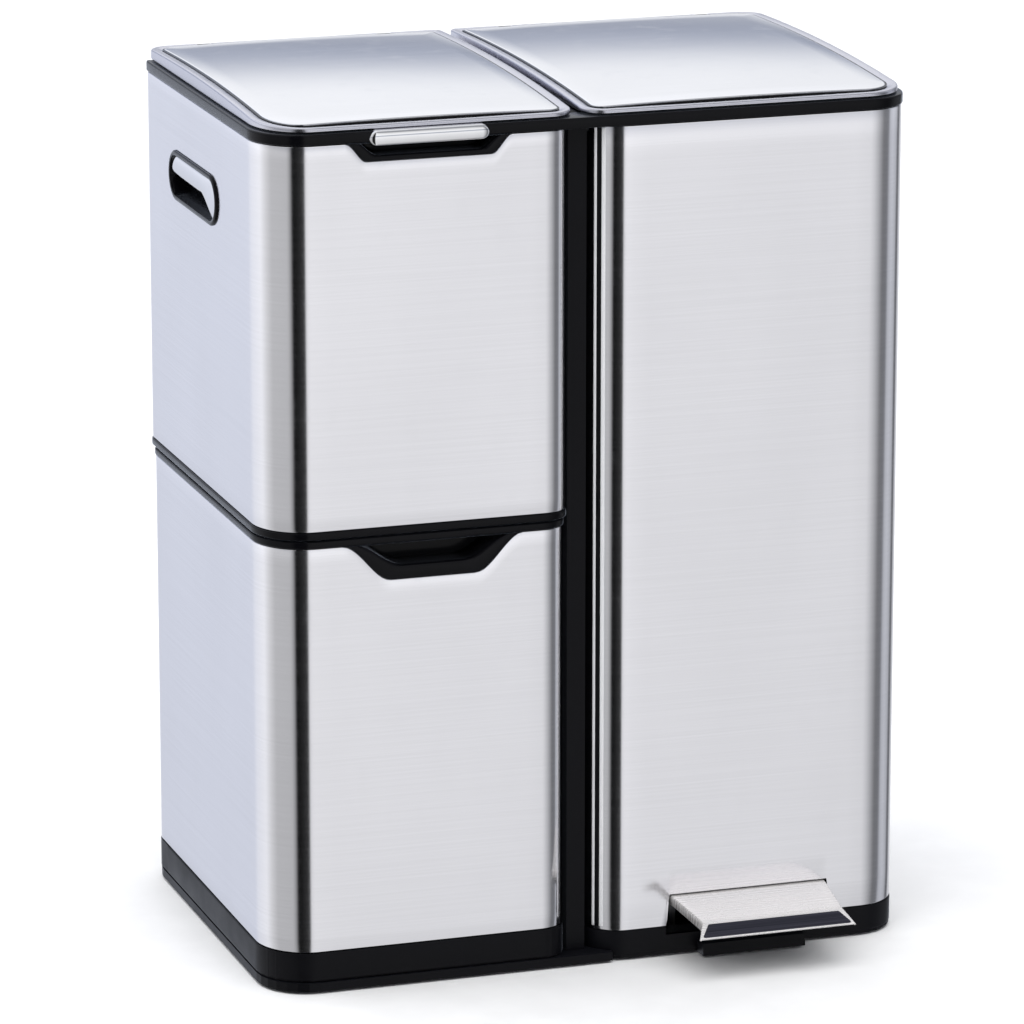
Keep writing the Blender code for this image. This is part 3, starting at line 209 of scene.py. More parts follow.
@dataclass(frozen=True)
class Plan:
    """A rectangle with four rounded corners, seen from above.

    Each corner is a quarter of an ellipse: half-axis across along X, half-axis along along Y.

    Attributes:
        x0, x1, y0, y1: the rectangle.
        corners: (across, along) of the front left, front right, rear right and rear left corner.
    """

    x0: float
    x1: float
    y0: float
    y1: float
    corners: tuple[tuple[float, float], ...]

    def loop(
        self,
        inset: float = 0.0,
        front: Sequence[float] = (),
        left: Sequence[float] = (),
        right: Sequence[float] = (),
        rear: Sequence[float] = (),
        rear_inset: float | None = None,
    ) -> Array:
        """Counter-clockwise points round the plan.

        Args:
            inset: distance inside the plan's edge.
            front, left, right, rear: extra places on the straight sides.
            rear_inset: the inset of the rear side, if it has its own.
        Returns:
            (N, 2) points, as many for every inset.
        """
        back = inset if rear_inset is None else rear_inset
        x0, x1, y0, y1 = self.x0 + inset, self.x1 - inset, self.y0 + inset, self.y1 - back
        half = [
            (max(across - inset, SHEET), max(along - inset, SHEET)) for across, along in self.corners
        ]
        centres = (
            (x0 + half[0][0], y0 + half[0][1]),
            (x1 - half[1][0], y0 + half[1][1]),
            (x1 - half[2][0], y1 - half[2][1]),
            (x0 + half[3][0], y1 - half[3][1]),
        )
        turn = np.linspace(0.0, math.pi / 2, CORNER_STEPS)
        pieces = []
        extras = (front, right, rear, left)
        for number, ((cx, cy), (across, along)) in enumerate(zip(centres, half)):
            angle = turn + math.pi + number * math.pi / 2
            pieces.append(np.stack([cx + across * np.cos(angle), cy + along * np.sin(angle)], -1))
            after = (number + 1) % 4
            end_angle = math.pi * 1.5 + number * math.pi / 2
            start = pieces[-1][-1]
            end = np.array(
                [
                    centres[after][0] + half[after][0] * math.cos(end_angle),
                    centres[after][1] + half[after][1] * math.sin(end_angle),
                ]
            )
            axis = number % 2
            share = np.linspace(0.0, 1.0, SIDE_STEPS + 2)[1:-1]
            if len(extras[number]):
                marks = (np.asarray(extras[number]) - start[axis]) / (end[axis] - start[axis])
                share = np.sort(np.concatenate([share, marks]))
            pieces.append(start + (end - start) * share[:, None])
        return np.concatenate(pieces)


def lift(loop: Array, z: Array | float) -> Array:
    """(N, 2) points raised to a height, as (N, 3)."""
    return np.concatenate([loop, np.broadcast_to(np.asarray(z, float), len(loop))[:, None]], -1)


def smoothstep(value: Array, start: float, end: float) -> Array:
    """0 before start and 1 after end, by the cubic 3t^2 - 2t^3 in between."""
    t = np.clip((value - start) / (end - start), 0.0, 1.0)
    return t * t * (3.0 - 2.0 * t)


def rounded_polygon(corners: Array, radii: Sequence[float], inset: float, steps: int = 7) -> Array:
    """A convex polygon with rounded corners, moved inward.

    Each edge moves inward by inset, neighbouring edges are met again, and each corner
    becomes an arc that touches both its edges.

    Args:
        corners: (K, 2) counter-clockwise corners.
        radii: radius at each corner.
        inset: distance inward.
        steps: points in each arc.
    Returns:
        (K * steps, 2) points.
    """
    ahead = np.roll(corners, -1, 0) - corners
    ahead = ahead / np.linalg.norm(ahead, axis=1)[:, None]
    normal = np.stack([-ahead[:, 1], ahead[:, 0]], -1)
    offset = (normal * corners).sum(1) + inset
    before_n, before_o = np.roll(normal, 1, 0), np.roll(offset, 1)
    matrix = np.stack([before_n, normal], 1)
    moved = np.linalg.solve(matrix, np.stack([before_o, offset], -1)[..., None])[..., 0]
    points = []
    for index, radius in enumerate(radii):
        size = max(radius - inset, SHEET / 2)
        pair = np.stack([before_n[index], normal[index]])
        centre = moved[index] + np.linalg.solve(pair, np.array([size, size]))
        start = math.atan2(-before_n[index][1], -before_n[index][0])
        end = math.atan2(-normal[index][1], -normal[index][0])
        end += 2 * math.pi * (end < start)
        angle = np.linspace(start, end, steps)
        points.append(centre + size * np.stack([np.cos(angle), np.sin(angle)], -1))
    return np.concatenate(points)


def stadium(length: float, height: float, steps: int = 40) -> Array:
    """A flat oval about the origin: half circles at both ends, joined by straight lines."""
    radius = height / 2
    reach = length / 2 - radius
    angle = np.linspace(-math.pi / 2, math.pi * 1.5, 2 * steps, endpoint=False)
    side = np.where(np.arange(2 * steps) < steps, reach, -reach)
    return np.stack([side + radius * np.cos(angle), radius * np.sin(angle)], -1)


# ---------------------------------------------------------------- finishes


class Graph:
    """A material's node tree, with short ways to add and join nodes."""

    def __init__(self, name: str) -> None:
        """Starts a material with a plain shader."""
        self.material = bpy.data.materials.new(name)
        self.material.use_nodes = True
        self.tree = self.material.node_tree
        self.shader = self.tree.nodes["Principled BSDF"]

    def add(self, kind: str, **settings: object) -> bpy.types.Node:
        """A node of a kind, with its own settings."""
        node = self.tree.nodes.new(kind)
        for key, value in settings.items():
            setattr(node, key, value)
        return node

    def join(self, source: bpy.types.NodeSocket, target: bpy.types.NodeSocket) -> None:
        """Joins an output to an input."""
        self.tree.links.new(source, target)

    def object_noise(
        self, scale: tuple[float, float, float], detail: float, roughness: float = 0.5
    ) -> bpy.types.NodeSocket:
        """Noise on the object's own coordinates, stretched by a scale along each axis."""
        place = self.add("ShaderNodeTexCoord")
        mapping = self.add("ShaderNodeMapping")
        mapping.inputs["Scale"].default_value = scale
        noise = self.add("ShaderNodeTexNoise")
        noise.inputs["Scale"].default_value = 1.0
        noise.inputs["Detail"].default_value = detail
        noise.inputs["Roughness"].default_value = roughness
        self.join(place.outputs["Object"], mapping.inputs["Vector"])
        self.join(mapping.outputs["Vector"], noise.inputs["Vector"])
        return noise.outputs["Fac"]

    def spread(
        self,
        source: bpy.types.NodeSocket,
        low: float,
        high: float,
        start: float = 0.3,
        end: float = 0.7,
    ) -> bpy.types.NodeSocket:
        """Maps the range from start to end of a value onto the range from low to high."""
        node = self.add("ShaderNodeMapRange")
        node.inputs["From Min"].default_value = start
        node.inputs["From Max"].default_value = end
        node.inputs["To Min"].default_value = low
        node.inputs["To Max"].default_value = high
        self.join(source, node.inputs["Value"])
        return node.outputs["Result"]

    def arithmetic(
        self, operation: str, first: bpy.types.NodeSocket, second: bpy.types.NodeSocket | float
    ) -> bpy.types.NodeSocket:
        """One sum on two values."""
        node = self.add("ShaderNodeMath", operation=operation)
        self.join(first, node.inputs[0])
        if isinstance(second, float):
            node.inputs[1].default_value = second
        else:
            self.join(second, node.inputs[1])
        return node.outputs["Value"]

    def blend(self, share: bpy.types.NodeSocket, low: Colour, high: Colour) -> bpy.types.NodeSocket:
        """A colour between two, by a value from 0 to 1."""
        node = self.add("ShaderNodeMix", data_type="RGBA")
        colours = [socket for socket in node.inputs if socket.type == "RGBA"]
        colours[0].default_value = (*low, 1.0)
        colours[1].default_value = (*high, 1.0)
        self.join(share, node.inputs["Factor"])
        return next(socket for socket in node.outputs if socket.type == "RGBA")

    def bump(self, source: bpy.types.NodeSocket, depth: float, strength: float) -> None:
        """Raises the surface by a value, depth metres from 0 to 1."""
        node = self.add("ShaderNodeBump")
        node.inputs["Strength"].default_value = strength
        node.inputs["Distance"].default_value = depth
        self.join(source, node.inputs["Height"])
        self.join(node.outputs["Normal"], self.shader.inputs["Normal"])


@dataclass(frozen=True)
class Finish:
    """Something that a piece is covered with.

    Attributes:
        name: the material's name.
        colour: the base colour.
        roughness: the mean roughness.
        slot: the record's slot that it stands for.
    """

    name: str
    colour: Colour
    roughness: float
    # slot: the record's slot that it stands for; not used.
    slot: str

    def material(self) -> bpy.types.Material:
        """The finish's material, made once."""
        name = f"look_{self.name}"
        return bpy.data.materials.get(name) or self.paint(Graph(name))

    def paint(self, graph: Graph) -> bpy.types.Material:
        """Builds the node tree and returns its material."""
        raise NotImplementedError


@dataclass(frozen=True)
class BrushedMetal(Finish):
    """Metal with fine parallel lines, faint cloudiness and finger marks.

    Attributes:
        grain: direction of the lines.
        line_depth: depth of the lines.
        marks: how much finger marks raise the roughness.
        metal: how metallic it is.
        deep: the colour in the darkest lines, as a share of the base colour.
    """

    grain: Grain = Grain.ROUND
    line_depth: float = 0.000006
    marks: float = 0.04
    metal: float = 1.0
    deep: float = 0.96

    def paint(self, graph: Graph) -> bpy.types.Material:
        """Lines, cloudiness and finger marks, each a noise on the object's coordinates."""
        shader = graph.shader
        shader.inputs["Metallic"].default_value = self.metal
        lines = graph.object_noise(self.grain.value, 2.0)
        cloud = graph.object_noise((9.0, 9.0, 5.0), 3.0)
        prints = graph.object_noise((55.0, 55.0, 38.0), 4.0, 0.62)
        tone = graph.arithmetic(
            "MULTIPLY", graph.spread(lines, self.deep, 1.0), graph.spread(cloud, 0.965, 1.0)
        )
        graph.join(graph.blend(tone, BLACK, self.colour), shader.inputs["Base Color"])
        rough = graph.arithmetic(
            "ADD",
            graph.spread(lines, self.roughness * 0.85, self.roughness * 1.2),
            graph.spread(prints, 0.0, self.marks, 0.56, 0.72),
        )
        graph.join(rough, shader.inputs["Roughness"])
        graph.bump(lines, self.line_depth, 0.2)
        return graph.material


@dataclass(frozen=True)
class MouldedPlastic(Finish):
    """Plastic from a mould: a faint texture, slight mottling and rubbed patches.

    Attributes:
        texture: size of the texture's cells, as noise scale.
        depth: height of the texture.
        coat: weight of the clear gloss over it.
        worn: how much lighter the rubbed patches are.
        shine: strength of the plain reflection.
        sheen: strength of the pale veil that shows at a glancing angle.
    """

    texture: float = 900.0
    depth: float = 0.00002
    coat: float = 0.0
    worn: float = 1.35
    shine: float = 0.5
    sheen: float = 0.0

    def paint(self, graph: Graph) -> bpy.types.Material:
        """A fine texture under larger rubbed patches, both noises on the object's coordinates."""
        shader = graph.shader
        shader.inputs["Coat Weight"].default_value = self.coat
        shader.inputs["Coat Roughness"].default_value = 0.06
        shader.inputs["Specular IOR Level"].default_value = self.shine
        shader.inputs["Sheen Weight"].default_value = self.sheen
        shader.inputs["Sheen Roughness"].default_value = 0.22
        shader.inputs["Sheen Tint"].default_value = (0.78, 0.86, 1.0, 1.0)
        fine = graph.object_noise((self.texture,) * 3, 1.0)
        patches = graph.object_noise((26.0, 26.0, 26.0), 4.0, 0.6)
        worn = tuple(part * self.worn for part in self.colour)
        share = graph.spread(patches, 0.0, 1.0, 0.42, 0.7)
        graph.join(graph.blend(share, self.colour, worn), shader.inputs["Base Color"])
        rough = graph.arithmetic(
            "ADD",
            graph.spread(patches, self.roughness * 0.85, self.roughness * 1.15),
            graph.spread(fine, 0.0, 0.04),
        )
        graph.join(rough, shader.inputs["Roughness"])
        graph.bump(fine, self.depth, 0.4)
        return graph.material


STEEL = BrushedMetal("brushed_steel", (0.915, 0.908, 0.935), 0.13, "steel")
LID_STEEL = BrushedMetal("lid_steel", (0.91, 0.912, 0.925), 0.10, "steel", grain=Grain.ACROSS)
PEDAL_STEEL = BrushedMetal(
    "pedal_steel", (0.90, 0.875, 0.86), 0.26, "steel",
    grain=Grain.ACROSS, line_depth=0.000001, marks=0.05, metal=0.55,
)
# Steel coloured near-black for the pedal's recessed front: painted shade of the recess.
PAD_STEEL_PAINTED_SHADE = BrushedMetal(
    "pad_steel_painted_shade", (0.108, 0.107, 0.137), 0.34, "steel",
    grain=Grain.ACROSS, line_depth=0.000001, deep=0.55,
)
# Silver colour for the lid frames, which are gloss black: a painted highlight standing in for their
# glancing reflection.
RIM_PAINTED_HIGHLIGHT = BrushedMetal("rim_painted_highlight", (0.66, 0.66, 0.72), 0.24, "steel", grain=Grain.NONE, marks=0.06)
CHROME = BrushedMetal(
    "chrome", (0.90, 0.90, 0.91), 0.06, "chrome", grain=Grain.NONE, line_depth=0.000002, deep=0.98
)
ZINC = BrushedMetal("zinc_plated", (0.60, 0.61, 0.60), 0.34, "zinc_steel", grain=Grain.NONE, deep=0.86)
GLOSS_BLACK = MouldedPlastic(
    "gloss_black", (0.0020, 0.0020, 0.0028), 0.16, "gloss_black",
    depth=0.000004, coat=0.06, shine=0.10, sheen=0.90,
)
MATTE_BLACK = MouldedPlastic(
    "matte_black", (0.0030, 0.0030, 0.0042), 0.40, "matte_black", shine=0.13, sheen=0.30
)
# Bright plastic for the beads on the right column's inner corner: painted highlights.
CORNER_HIGHLIGHT = MouldedPlastic(
    "corner_painted_highlight", (0.74, 0.74, 0.75), 0.24, "chrome", depth=0.000003, coat=0.5, worn=1.05
)
BUCKET = MouldedPlastic("bucket_plastic", (0.13, 0.13, 0.14), 0.42, "bucket_grey")
LINER = MouldedPlastic("lid_liner", (0.045, 0.045, 0.050), 0.38, "bucket_grey")
RUBBER = MouldedPlastic(
    "foot_rubber", (0.008, 0.008, 0.008), 0.80, "foot_rubber", texture=500.0, depth=0.00004
)
FLOOR = MouldedPlastic("pale_floor", (0.86, 0.86, 0.86), 0.70, "", texture=40.0, depth=0.0, worn=1.03)


# ---------------------------------------------------------------- plans

SHELL_CORNER = (0.038, 0.040)
LEFT_CORNERS = (SHELL_CORNER, (0.020, 0.016), (0.008, 0.008), (0.022, 0.022))
LEFT_PLAN = Plan(LEFT, SPLIT_LEFT, FRONT, REAR, LEFT_CORNERS)
DRAWER_PLAN = Plan(LEFT, DRAWER_SIDE, FRONT, DRAWER_REAR, LEFT_CORNERS)
RIGHT_PLAN = Plan(
    SPLIT_RIGHT, RIGHT, FRONT, REAR, ((0.030, 0.030), (0.034, 0.034), (0.022, 0.022), (0.008, 0.008))
)


# ---------------------------------------------------------------- steel shells


@dataclass(frozen=True)
class Dip:
    """A trapezoid cut from the edge of a shell's front.

    Attributes:
        edge: the edge it is cut from.
        centre: its middle, along X.
        edge_width: its width at the edge.
        inner_width: its width at its far end.
        depth: how far it runs in from the edge.
    """

    edge: Edge
    centre: float
    edge_width: float
    inner_width: float
    depth: float

    def places(self, inset: float = 0.0) -> Array:
        """Where along X the dip's edge has points, from left to right."""
        outer, inner = self.edge_width / 2 - inset, self.inner_width / 2 - inset
        flare = np.linspace(outer, inner, DIP_STEPS)
        flat = np.linspace(inner, -inner, DIP_STEPS)[1:-1]
        return self.centre + np.concatenate([-flare, -flat, flare[::-1]])

    def share(self, x: Array, inset: float = 0.0) -> Array:
        """How deep the dip is at x: 0 outside, 1 along its far side, a smooth step in between."""
        outer, inner = self.edge_width / 2 - inset, self.inner_width / 2 - inset
        return smoothstep(outer - np.abs(x - self.centre), 0.0, outer - inner)


LIP_TAB = Dip(Edge.TOP, LIP_X, 0.1240, 0.0930, 0.0136)
GRIP_DIP = Dip(Edge.TOP, GRIP_X, 0.1360, 0.0640, 0.0273)


@dataclass(frozen=True)
class HandleHole:
    """The oval hole for a side handle, and the flat patch of wall round it.

    Attributes:
        length, height: size of the hole.
        margin: width of the patch beyond it.
    """

    length: float = 0.1306
    height: float = 0.0386
    margin: float = 0.012

    def frame_y(self) -> tuple[float, float]:
        """The patch's ends along Y."""
        half = self.length / 2 + self.margin
        return HANDLE_Y - half, HANDLE_Y + half

    def frame_z(self) -> tuple[float, float]:
        """The patch's ends along Z."""
        half = self.height / 2 + self.margin
        return HANDLE_Z - half, HANDLE_Z + half

    def rim(self, y: Array, z: Array) -> tuple[Array, Array]:
        """Where the line from the middle of the hole to a point crosses the oval."""
        radius = self.height / 2
        reach = self.length / 2 - radius
        angle = np.arctan2(z - HANDLE_Z, y - HANDLE_Y)
        along, up = np.abs(np.cos(angle)), np.abs(np.sin(angle))
        flat = radius / np.maximum(up, 1e-9)
        end = reach * along + np.sqrt(np.maximum(radius**2 - (reach * up) ** 2, 0.0))
        distance = np.where(flat * along <= reach, flat, end)
        return HANDLE_Y + distance * np.cos(angle), HANDLE_Z + distance * np.sin(angle)


@dataclass(frozen=True)
class SteelShell:
    """A sheet steel wall round a column, rolled inward at its top and bottom edges.

    A point of the wall is a place round the plan and a share of the height between the
    lower and the upper edge, and a dip moves the edge where it is cut.

    Attributes:
        name: the piece's name.
        plan: its outline from above.
        bottom, top: its heights.
        dips: what is cut from its front edges.
        handle: the side with the handle's hole.
        roll: radius of the rolled edges.
        rows: rows of points up the wall.
        hole: the hole for the handle.
    """

    name: str
    plan: Plan
    bottom: float
    top: float
    dips: tuple[Dip, ...] = ()
    handle: Face = Face.NONE
    roll: float = 0.0009
    rows: int = 30
    hole: HandleHole = HandleHole()

    def build(self) -> bpy.types.Object:
        """Returns the wall as an object, one sheet thick."""
        front = np.unique(np.concatenate([dip.places() for dip in self.dips])) if self.dips else ()
        ends = self.hole.frame_y()
        grid = np.linspace(*ends, 22)
        side = {} if self.handle is Face.NONE else {self.handle.name.lower(): grid}
        flat = self.plan.loop(0.0, front=front, **side)
        rolled = self.plan.loop(self.roll, front=front, **side)
        on_front = flat[:, 1] < self.plan.y0 + SHEET
        low = np.full(len(flat), self.bottom)
        high = np.full(len(flat), self.top)
        for dip in self.dips:
            depth = dip.depth * dip.share(flat[:, 0]) * on_front
            if dip.edge is Edge.TOP:
                high -= depth
            else:
                low += depth
        share = np.linspace(0.0, 1.0, self.rows)
        if self.handle is not Face.NONE:
            z0, z1 = self.hole.frame_z()
            height = self.top - self.bottom - 2 * self.roll
            marks = (np.linspace(z0, z1, 9) - self.bottom - self.roll) / height
            keep = (share < marks[0] - 0.01) | (share > marks[-1] + 0.01)
            share = np.sort(np.concatenate([share[keep], marks]))
        turn = np.linspace(0.0, math.pi / 2, 4)
        start, end = low + self.roll, high - self.roll
        levels = [(self.roll * (1 - math.sin(t)), start - self.roll * math.cos(t)) for t in turn[:-1]]
        levels += [(0.0, start + (end - start) * step) for step in share]
        levels += [(self.roll * (1 - math.cos(t)), end + self.roll * math.sin(t)) for t in turn[1:]]
        rows = np.stack([lift(flat + (rolled - flat) * (inset / self.roll), z) for inset, z in levels])
        skin = Skin.over(rows)
        if self.handle is not Face.NONE:
            skin = self.pierced(skin)
        return skin.make(self.name, STEEL, wall=SHEET)

    def pierced(self, skin: Skin) -> Skin:
        """Takes the handle's patch out of the wall and fills it with rings that end on the oval."""
        wall_x = self.plan.x0 if self.handle is Face.LEFT else self.plan.x1
        (y0, y1), (z0, z1) = self.hole.frame_y(), self.hole.frame_z()
        middle = skin.points[skin.faces[0]].mean(1)
        inside = (
            (np.abs(middle[:, 0] - wall_x) < SHEET)
            & (middle[:, 1] > y0)
            & (middle[:, 1] < y1)
            & (middle[:, 2] > z0)
            & (middle[:, 2] < z1)
        )
        used = np.unique(skin.faces[0][inside])
        skin.faces[0] = skin.faces[0][~inside]
        place = skin.points[used]
        edge = (
            (np.abs(place[:, 1] - y0) < WELD)
            | (np.abs(place[:, 1] - y1) < WELD)
            | (np.abs(place[:, 2] - z0) < WELD)
            | (np.abs(place[:, 2] - z1) < WELD)
        )
        around = place[edge]
        angle = np.arctan2(around[:, 2] - HANDLE_Z, around[:, 1] - HANDLE_Y)
        around = around[np.argsort(angle)]
        rim_y, rim_z = self.hole.rim(around[:, 1], around[:, 2])
        rim = np.stack([around[:, 0], rim_y, rim_z], -1)
        inward = np.array([-self.handle.value * self.roll, 0.0, 0.0])
        shares = (0.0, 0.4, 0.75, 1.0)
        rings = [around + (rim - around) * share for share in shares]
        return skin.joined(Skin.over(np.stack(rings + [rim + inward])))


# ---------------------------------------------------------------- bands


@dataclass(frozen=True)
class Band:
    """A moulded ring that follows a plan.

    Attributes:
        name: the piece's name.
        plan: its outline from above.
        section: (inset, height) round the ring's cross section.
        finish: what it is made of.
    """

    name: str
    plan: Plan
    section: tuple[tuple[float, float], ...]
    finish: Finish

    def build(self, top: Height | None = None) -> bpy.types.Object:
        """Sweeps the section round the plan.

        Args:
            top: gives the greatest height at (x, y), if part of the ring is lower.
        Returns:
            The ring as an object.
        """
        rows = np.stack([lift(self.plan.loop(inset), z) for inset, z in self.section])
        if top is not None:
            rows[..., 2] = np.minimum(rows[..., 2], top(rows[..., 0], rows[..., 1]))
        return Skin.over(rows, closed=True).make(self.name, self.finish)


def soft_section(
    outer: float, inner: float, bottom: float, top: float, edge: float
) -> tuple[tuple[float, float], ...]:
    """A ring's rectangular section with its two outer corners rounded.

    Args:
        outer, inner: insets of its outer and inner faces.
        bottom, top: its heights.
        edge: radius of the outer corners.
    Returns:
        (inset, height) points.
    """
    turn = np.linspace(0.0, math.pi / 2, 5)
    low = [(outer + edge * (1 - math.sin(t)), bottom + edge * (1 - math.cos(t))) for t in turn]
    high = [(outer + edge * (1 - math.cos(t)), top - edge * (1 - math.sin(t))) for t in turn]
    return tuple(low + high + [(inner, top), (inner, bottom)])


# ---------------------------------------------------------------- lids


@dataclass(frozen=True)
class Lid:
    """A lid: an arched gloss frame, coloured silver as a painted highlight, with a domed steel panel
    let into it.

    The arch is two parabolas along Y that meet at the crown, and the panel adds a third
    across X.

    Attributes:
        side: the lid's name ending.
        plan: its outline.
        front_edge, crown, rear_edge: heights above the underside.
        crown_at: place of the crown, as a share of the depth.
        dome: extra height of the panel in the middle of its width.
        border, rear_border: width of the frame round the panel.
        bracket_inset: distance of each hinge bracket from the lid's side.
        bay_half, bay_depth: half width of a bracket's bay, and how far ahead of the pin it ends.
    """

    side: str
    plan: Plan
    front_edge: float = 0.0030
    crown: float = 0.0095
    rear_edge: float = 0.0065
    crown_at: float = 0.58
    dome: float = 0.0018
    border: float = 0.0090
    rear_border: float = 0.0120
    bracket_inset: float = 0.0450
    bay_half: float = 0.0060
    bay_depth: float = 0.0054

    def arch(self, y: Array) -> Array:
        """Height of the frame's top at y."""
        crown_y = LID_FRONT + (LID_REAR - LID_FRONT) * self.crown_at
        ahead = (crown_y - y) / (crown_y - LID_FRONT)
        behind = (y - crown_y) / (LID_REAR - crown_y)
        share = np.where(y < crown_y, ahead, behind)
        edge = np.where(y < crown_y, self.front_edge, self.rear_edge)
        return LID_BOTTOM + self.crown - (self.crown - edge) * share**2

    def domed(self, x: Array, y: Array) -> Array:
        """Height of the panel's top at (x, y)."""
        middle, half = (self.plan.x0 + self.plan.x1) / 2, (self.plan.x1 - self.plan.x0) / 2
        share = np.clip(np.abs(x - middle) / half, 0.0, 1.0)
        return self.arch(y) + self.dome * (1.0 - share**2)

    def notched(self, loop: Array) -> Array:
        """The loop with a bay at its rear for each hinge bracket."""
        half, depth_y = self.bay_half, HINGE_Y - self.bay_depth
        for x in (self.plan.x0 + self.bracket_inset, self.plan.x1 - self.bracket_inset):
            near = np.abs(loop[:, 0] - x) <= half + WELD
            loop[:, 1] = np.where(near, np.minimum(loop[:, 1], depth_y), loop[:, 1])
        return loop

    def marks(self) -> list[float]:
        """Where along X the rear edge needs points for the bays."""
        places = []
        for x in (self.plan.x0 + self.bracket_inset, self.plan.x1 - self.bracket_inset):
            places += [x - 0.00601 - 0.00002, x - self.bay_half, x - 0.003, x]
            places += [x + 0.003, x + self.bay_half, x + 0.00603]
        return places

    def build_frame(self) -> bpy.types.Object:
        """Rings from the underside out over the rim and down into the recess, closed by fans."""
        rear = self.marks()
        depth = 0.0011
        steps = (
            (0.0340, None, 0.0004),
            (0.0035, None, 0.0),
            (0.0006, None, 0.0),
            (0.0, None, 0.0006),
            (0.0, 0.0012, None),
            (0.0003, 0.0005, None),
            (0.0009, 0.0001, None),
            (0.0020, 0.0, None),
            (0.0040, 0.0001, None),
            (0.0060, 0.0005, None),
            (0.0070, 0.0009, None),
            (0.0078, 0.0011, None),
            (0.0090, depth, None),
            (0.0340, depth, None),
        )
        rings = []
        for inset, down, up in steps:
            extra = self.rear_border - self.border if inset >= 0.0084 else 0.0
            loop = self.plan.loop(inset, rear=rear, rear_inset=inset + extra)
            loop = self.notched(loop)
            z = np.full(len(loop), LID_BOTTOM + up) if down is None else self.arch(loop[:, 1]) - down
            rings.append(lift(loop, np.maximum(z, LID_BOTTOM)))
        # The frame's silver colour is a painted highlight.
        return Skin.closed_over(np.stack(rings)).make(f"lid_rim_{self.side}", RIM_PAINTED_HIGHLIGHT)

    def build_shadow_ring(self) -> bpy.types.Object:
        """A black ring in the step between the frame and the panel's edge: a dark piece put there as
        painted shadow of the gap under the panel's edge.
        """
        outer, inner, under = 0.0078, 0.0150, 0.0003
        extra = self.rear_border - self.border
        rings = []
        for inset, low in ((outer, True), (outer, False), (inner, False), (inner, True)):
            loop = self.plan.loop(inset, rear_inset=inset + extra)
            top = self.domed(loop[:, 0], loop[:, 1]) - 0.0009
            foot = self.arch(loop[:, 1]) - 0.0010
            shelf = self.arch(loop[:, 1]) - under
            rings.append(lift(loop, foot if low else np.maximum(top, shelf) if inset == outer else top))
        # The black ring is painted shadow of the gap under the panel's edge.
        return Skin.over(np.stack(rings), closed=True).make(f"lid_shadow_ring_{self.side}", GLOSS_BLACK)

    def build_liner(self) -> bpy.types.Object:
        """The thin plastic plate that covers the lid's underside."""
        rings = []
        for inset, up in ((0.0140, 0.0003), (0.0136, -0.0001), (0.0140, -0.0003), (0.0400, -0.0003)):
            loop = self.plan.loop(inset, rear_inset=inset + 0.0030)
            rings.append(lift(loop, LID_BOTTOM + up))
        return Skin.closed_over(np.stack(rings)).make(f"lid_liner_{self.side}", LINER)

    def build_panel(self) -> bpy.types.Object:
        """The domed sheet with its rolled edge."""
        sheet, edge = 0.0008, self.border + GAP
        steps = ((edge, sheet), (edge, 0.0004), (edge + 0.0003, 0.0001), (edge + 0.0010, 0.0))
        extra = self.rear_border - self.border
        rings = []
        for inset, down in steps:
            loop = self.plan.loop(inset, rear_inset=inset + extra)
            rings.append(lift(loop, self.domed(loop[:, 0], loop[:, 1]) - down))
        inner = self.plan.loop(steps[-1][0], rear_inset=steps[-1][0] + extra)
        middle = inner.mean(0)
        for share in (0.12, 0.25, 0.4, 0.55, 0.7, 0.82, 0.92, 0.975):
            loop = inner + (middle - inner) * share
            rings.append(lift(loop, self.domed(loop[:, 0], loop[:, 1])))
        skin = Skin.over(np.stack(rings))
        length = len(rings[0])
        skin.cap((len(rings) - 1) * length, length).cap(0, length)
        skin.points[-1, 2] -= self.dome
        return skin.make(f"lid_face_{self.side}", LID_STEEL)

    def dress(self, body: str) -> None:
        """Builds the lid and hangs it on its body."""
        rim, face, shadow_ring = self.build_frame(), self.build_panel(), self.build_shadow_ring()
        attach(rim, body)
        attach(shadow_ring, body)
        liner = self.build_liner()
        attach(liner, body)
        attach(face, body)
        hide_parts(f"lid_frame_{self.side}")
        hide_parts(f"lid_panel_{self.side}")


@dataclass(frozen=True)
class LipBar:
    """The bright bar under the front of the hand-lifted lid, with rounded ends.

    Its section is a superellipse of power 3, and it shrinks towards each end as a quarter circle.

    Attributes:
        length, height: its size.
        front, rear: where it starts and ends along Y.
        top: height of its upper side.
        end: length of each rounded end.
    """

    length: float = 0.0900
    height: float = 0.0122
    front: float = FRONT - 0.0036
    rear: float = FRONT + 0.0110
    top: float = LID_BOTTOM - GAP
    end: float = 0.0060

    def build(self) -> bpy.types.Object:
        """Returns the bar as an object."""
        turn = np.linspace(0.0, 2 * math.pi, 48, endpoint=False)
        round_y = np.sign(np.cos(turn)) * np.abs(np.cos(turn)) ** (2 / 3)
        round_z = np.sign(np.sin(turn)) * np.abs(np.sin(turn)) ** (2 / 3)
        half = self.length / 2
        tip = np.sin(np.linspace(0.06, math.pi / 2, 10)) * self.end
        left = -half + self.end - np.sqrt(self.end**2 - tip**2)
        straight = np.linspace(-half + self.end, half - self.end, 12)[1:-1]
        x = np.concatenate([left, straight, -left[::-1]])
        size = np.concatenate([tip / self.end, np.ones(10), tip[::-1] / self.end])
        shrink = 0.55 + 0.45 * size
        middle_y, middle_z = (self.front + self.rear) / 2, self.top - self.height / 2
        y = middle_y + (self.rear - self.front) / 2 * round_y[None] * shrink[:, None]
        z = middle_z + self.height / 2 * round_z[None] * size[:, None]
        rows = np.stack([np.broadcast_to((LIP_X + x)[:, None], y.shape), y, z], -1)
        return Skin.closed_over(rows).make("lip_bar", CHROME)

    def dress(self) -> None:
        """Hangs the bar on the left lid."""
        bar = self.build()
        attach(bar, "lid_left")
        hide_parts("lid_lip")


# ---------------------------------------------------------------- grips


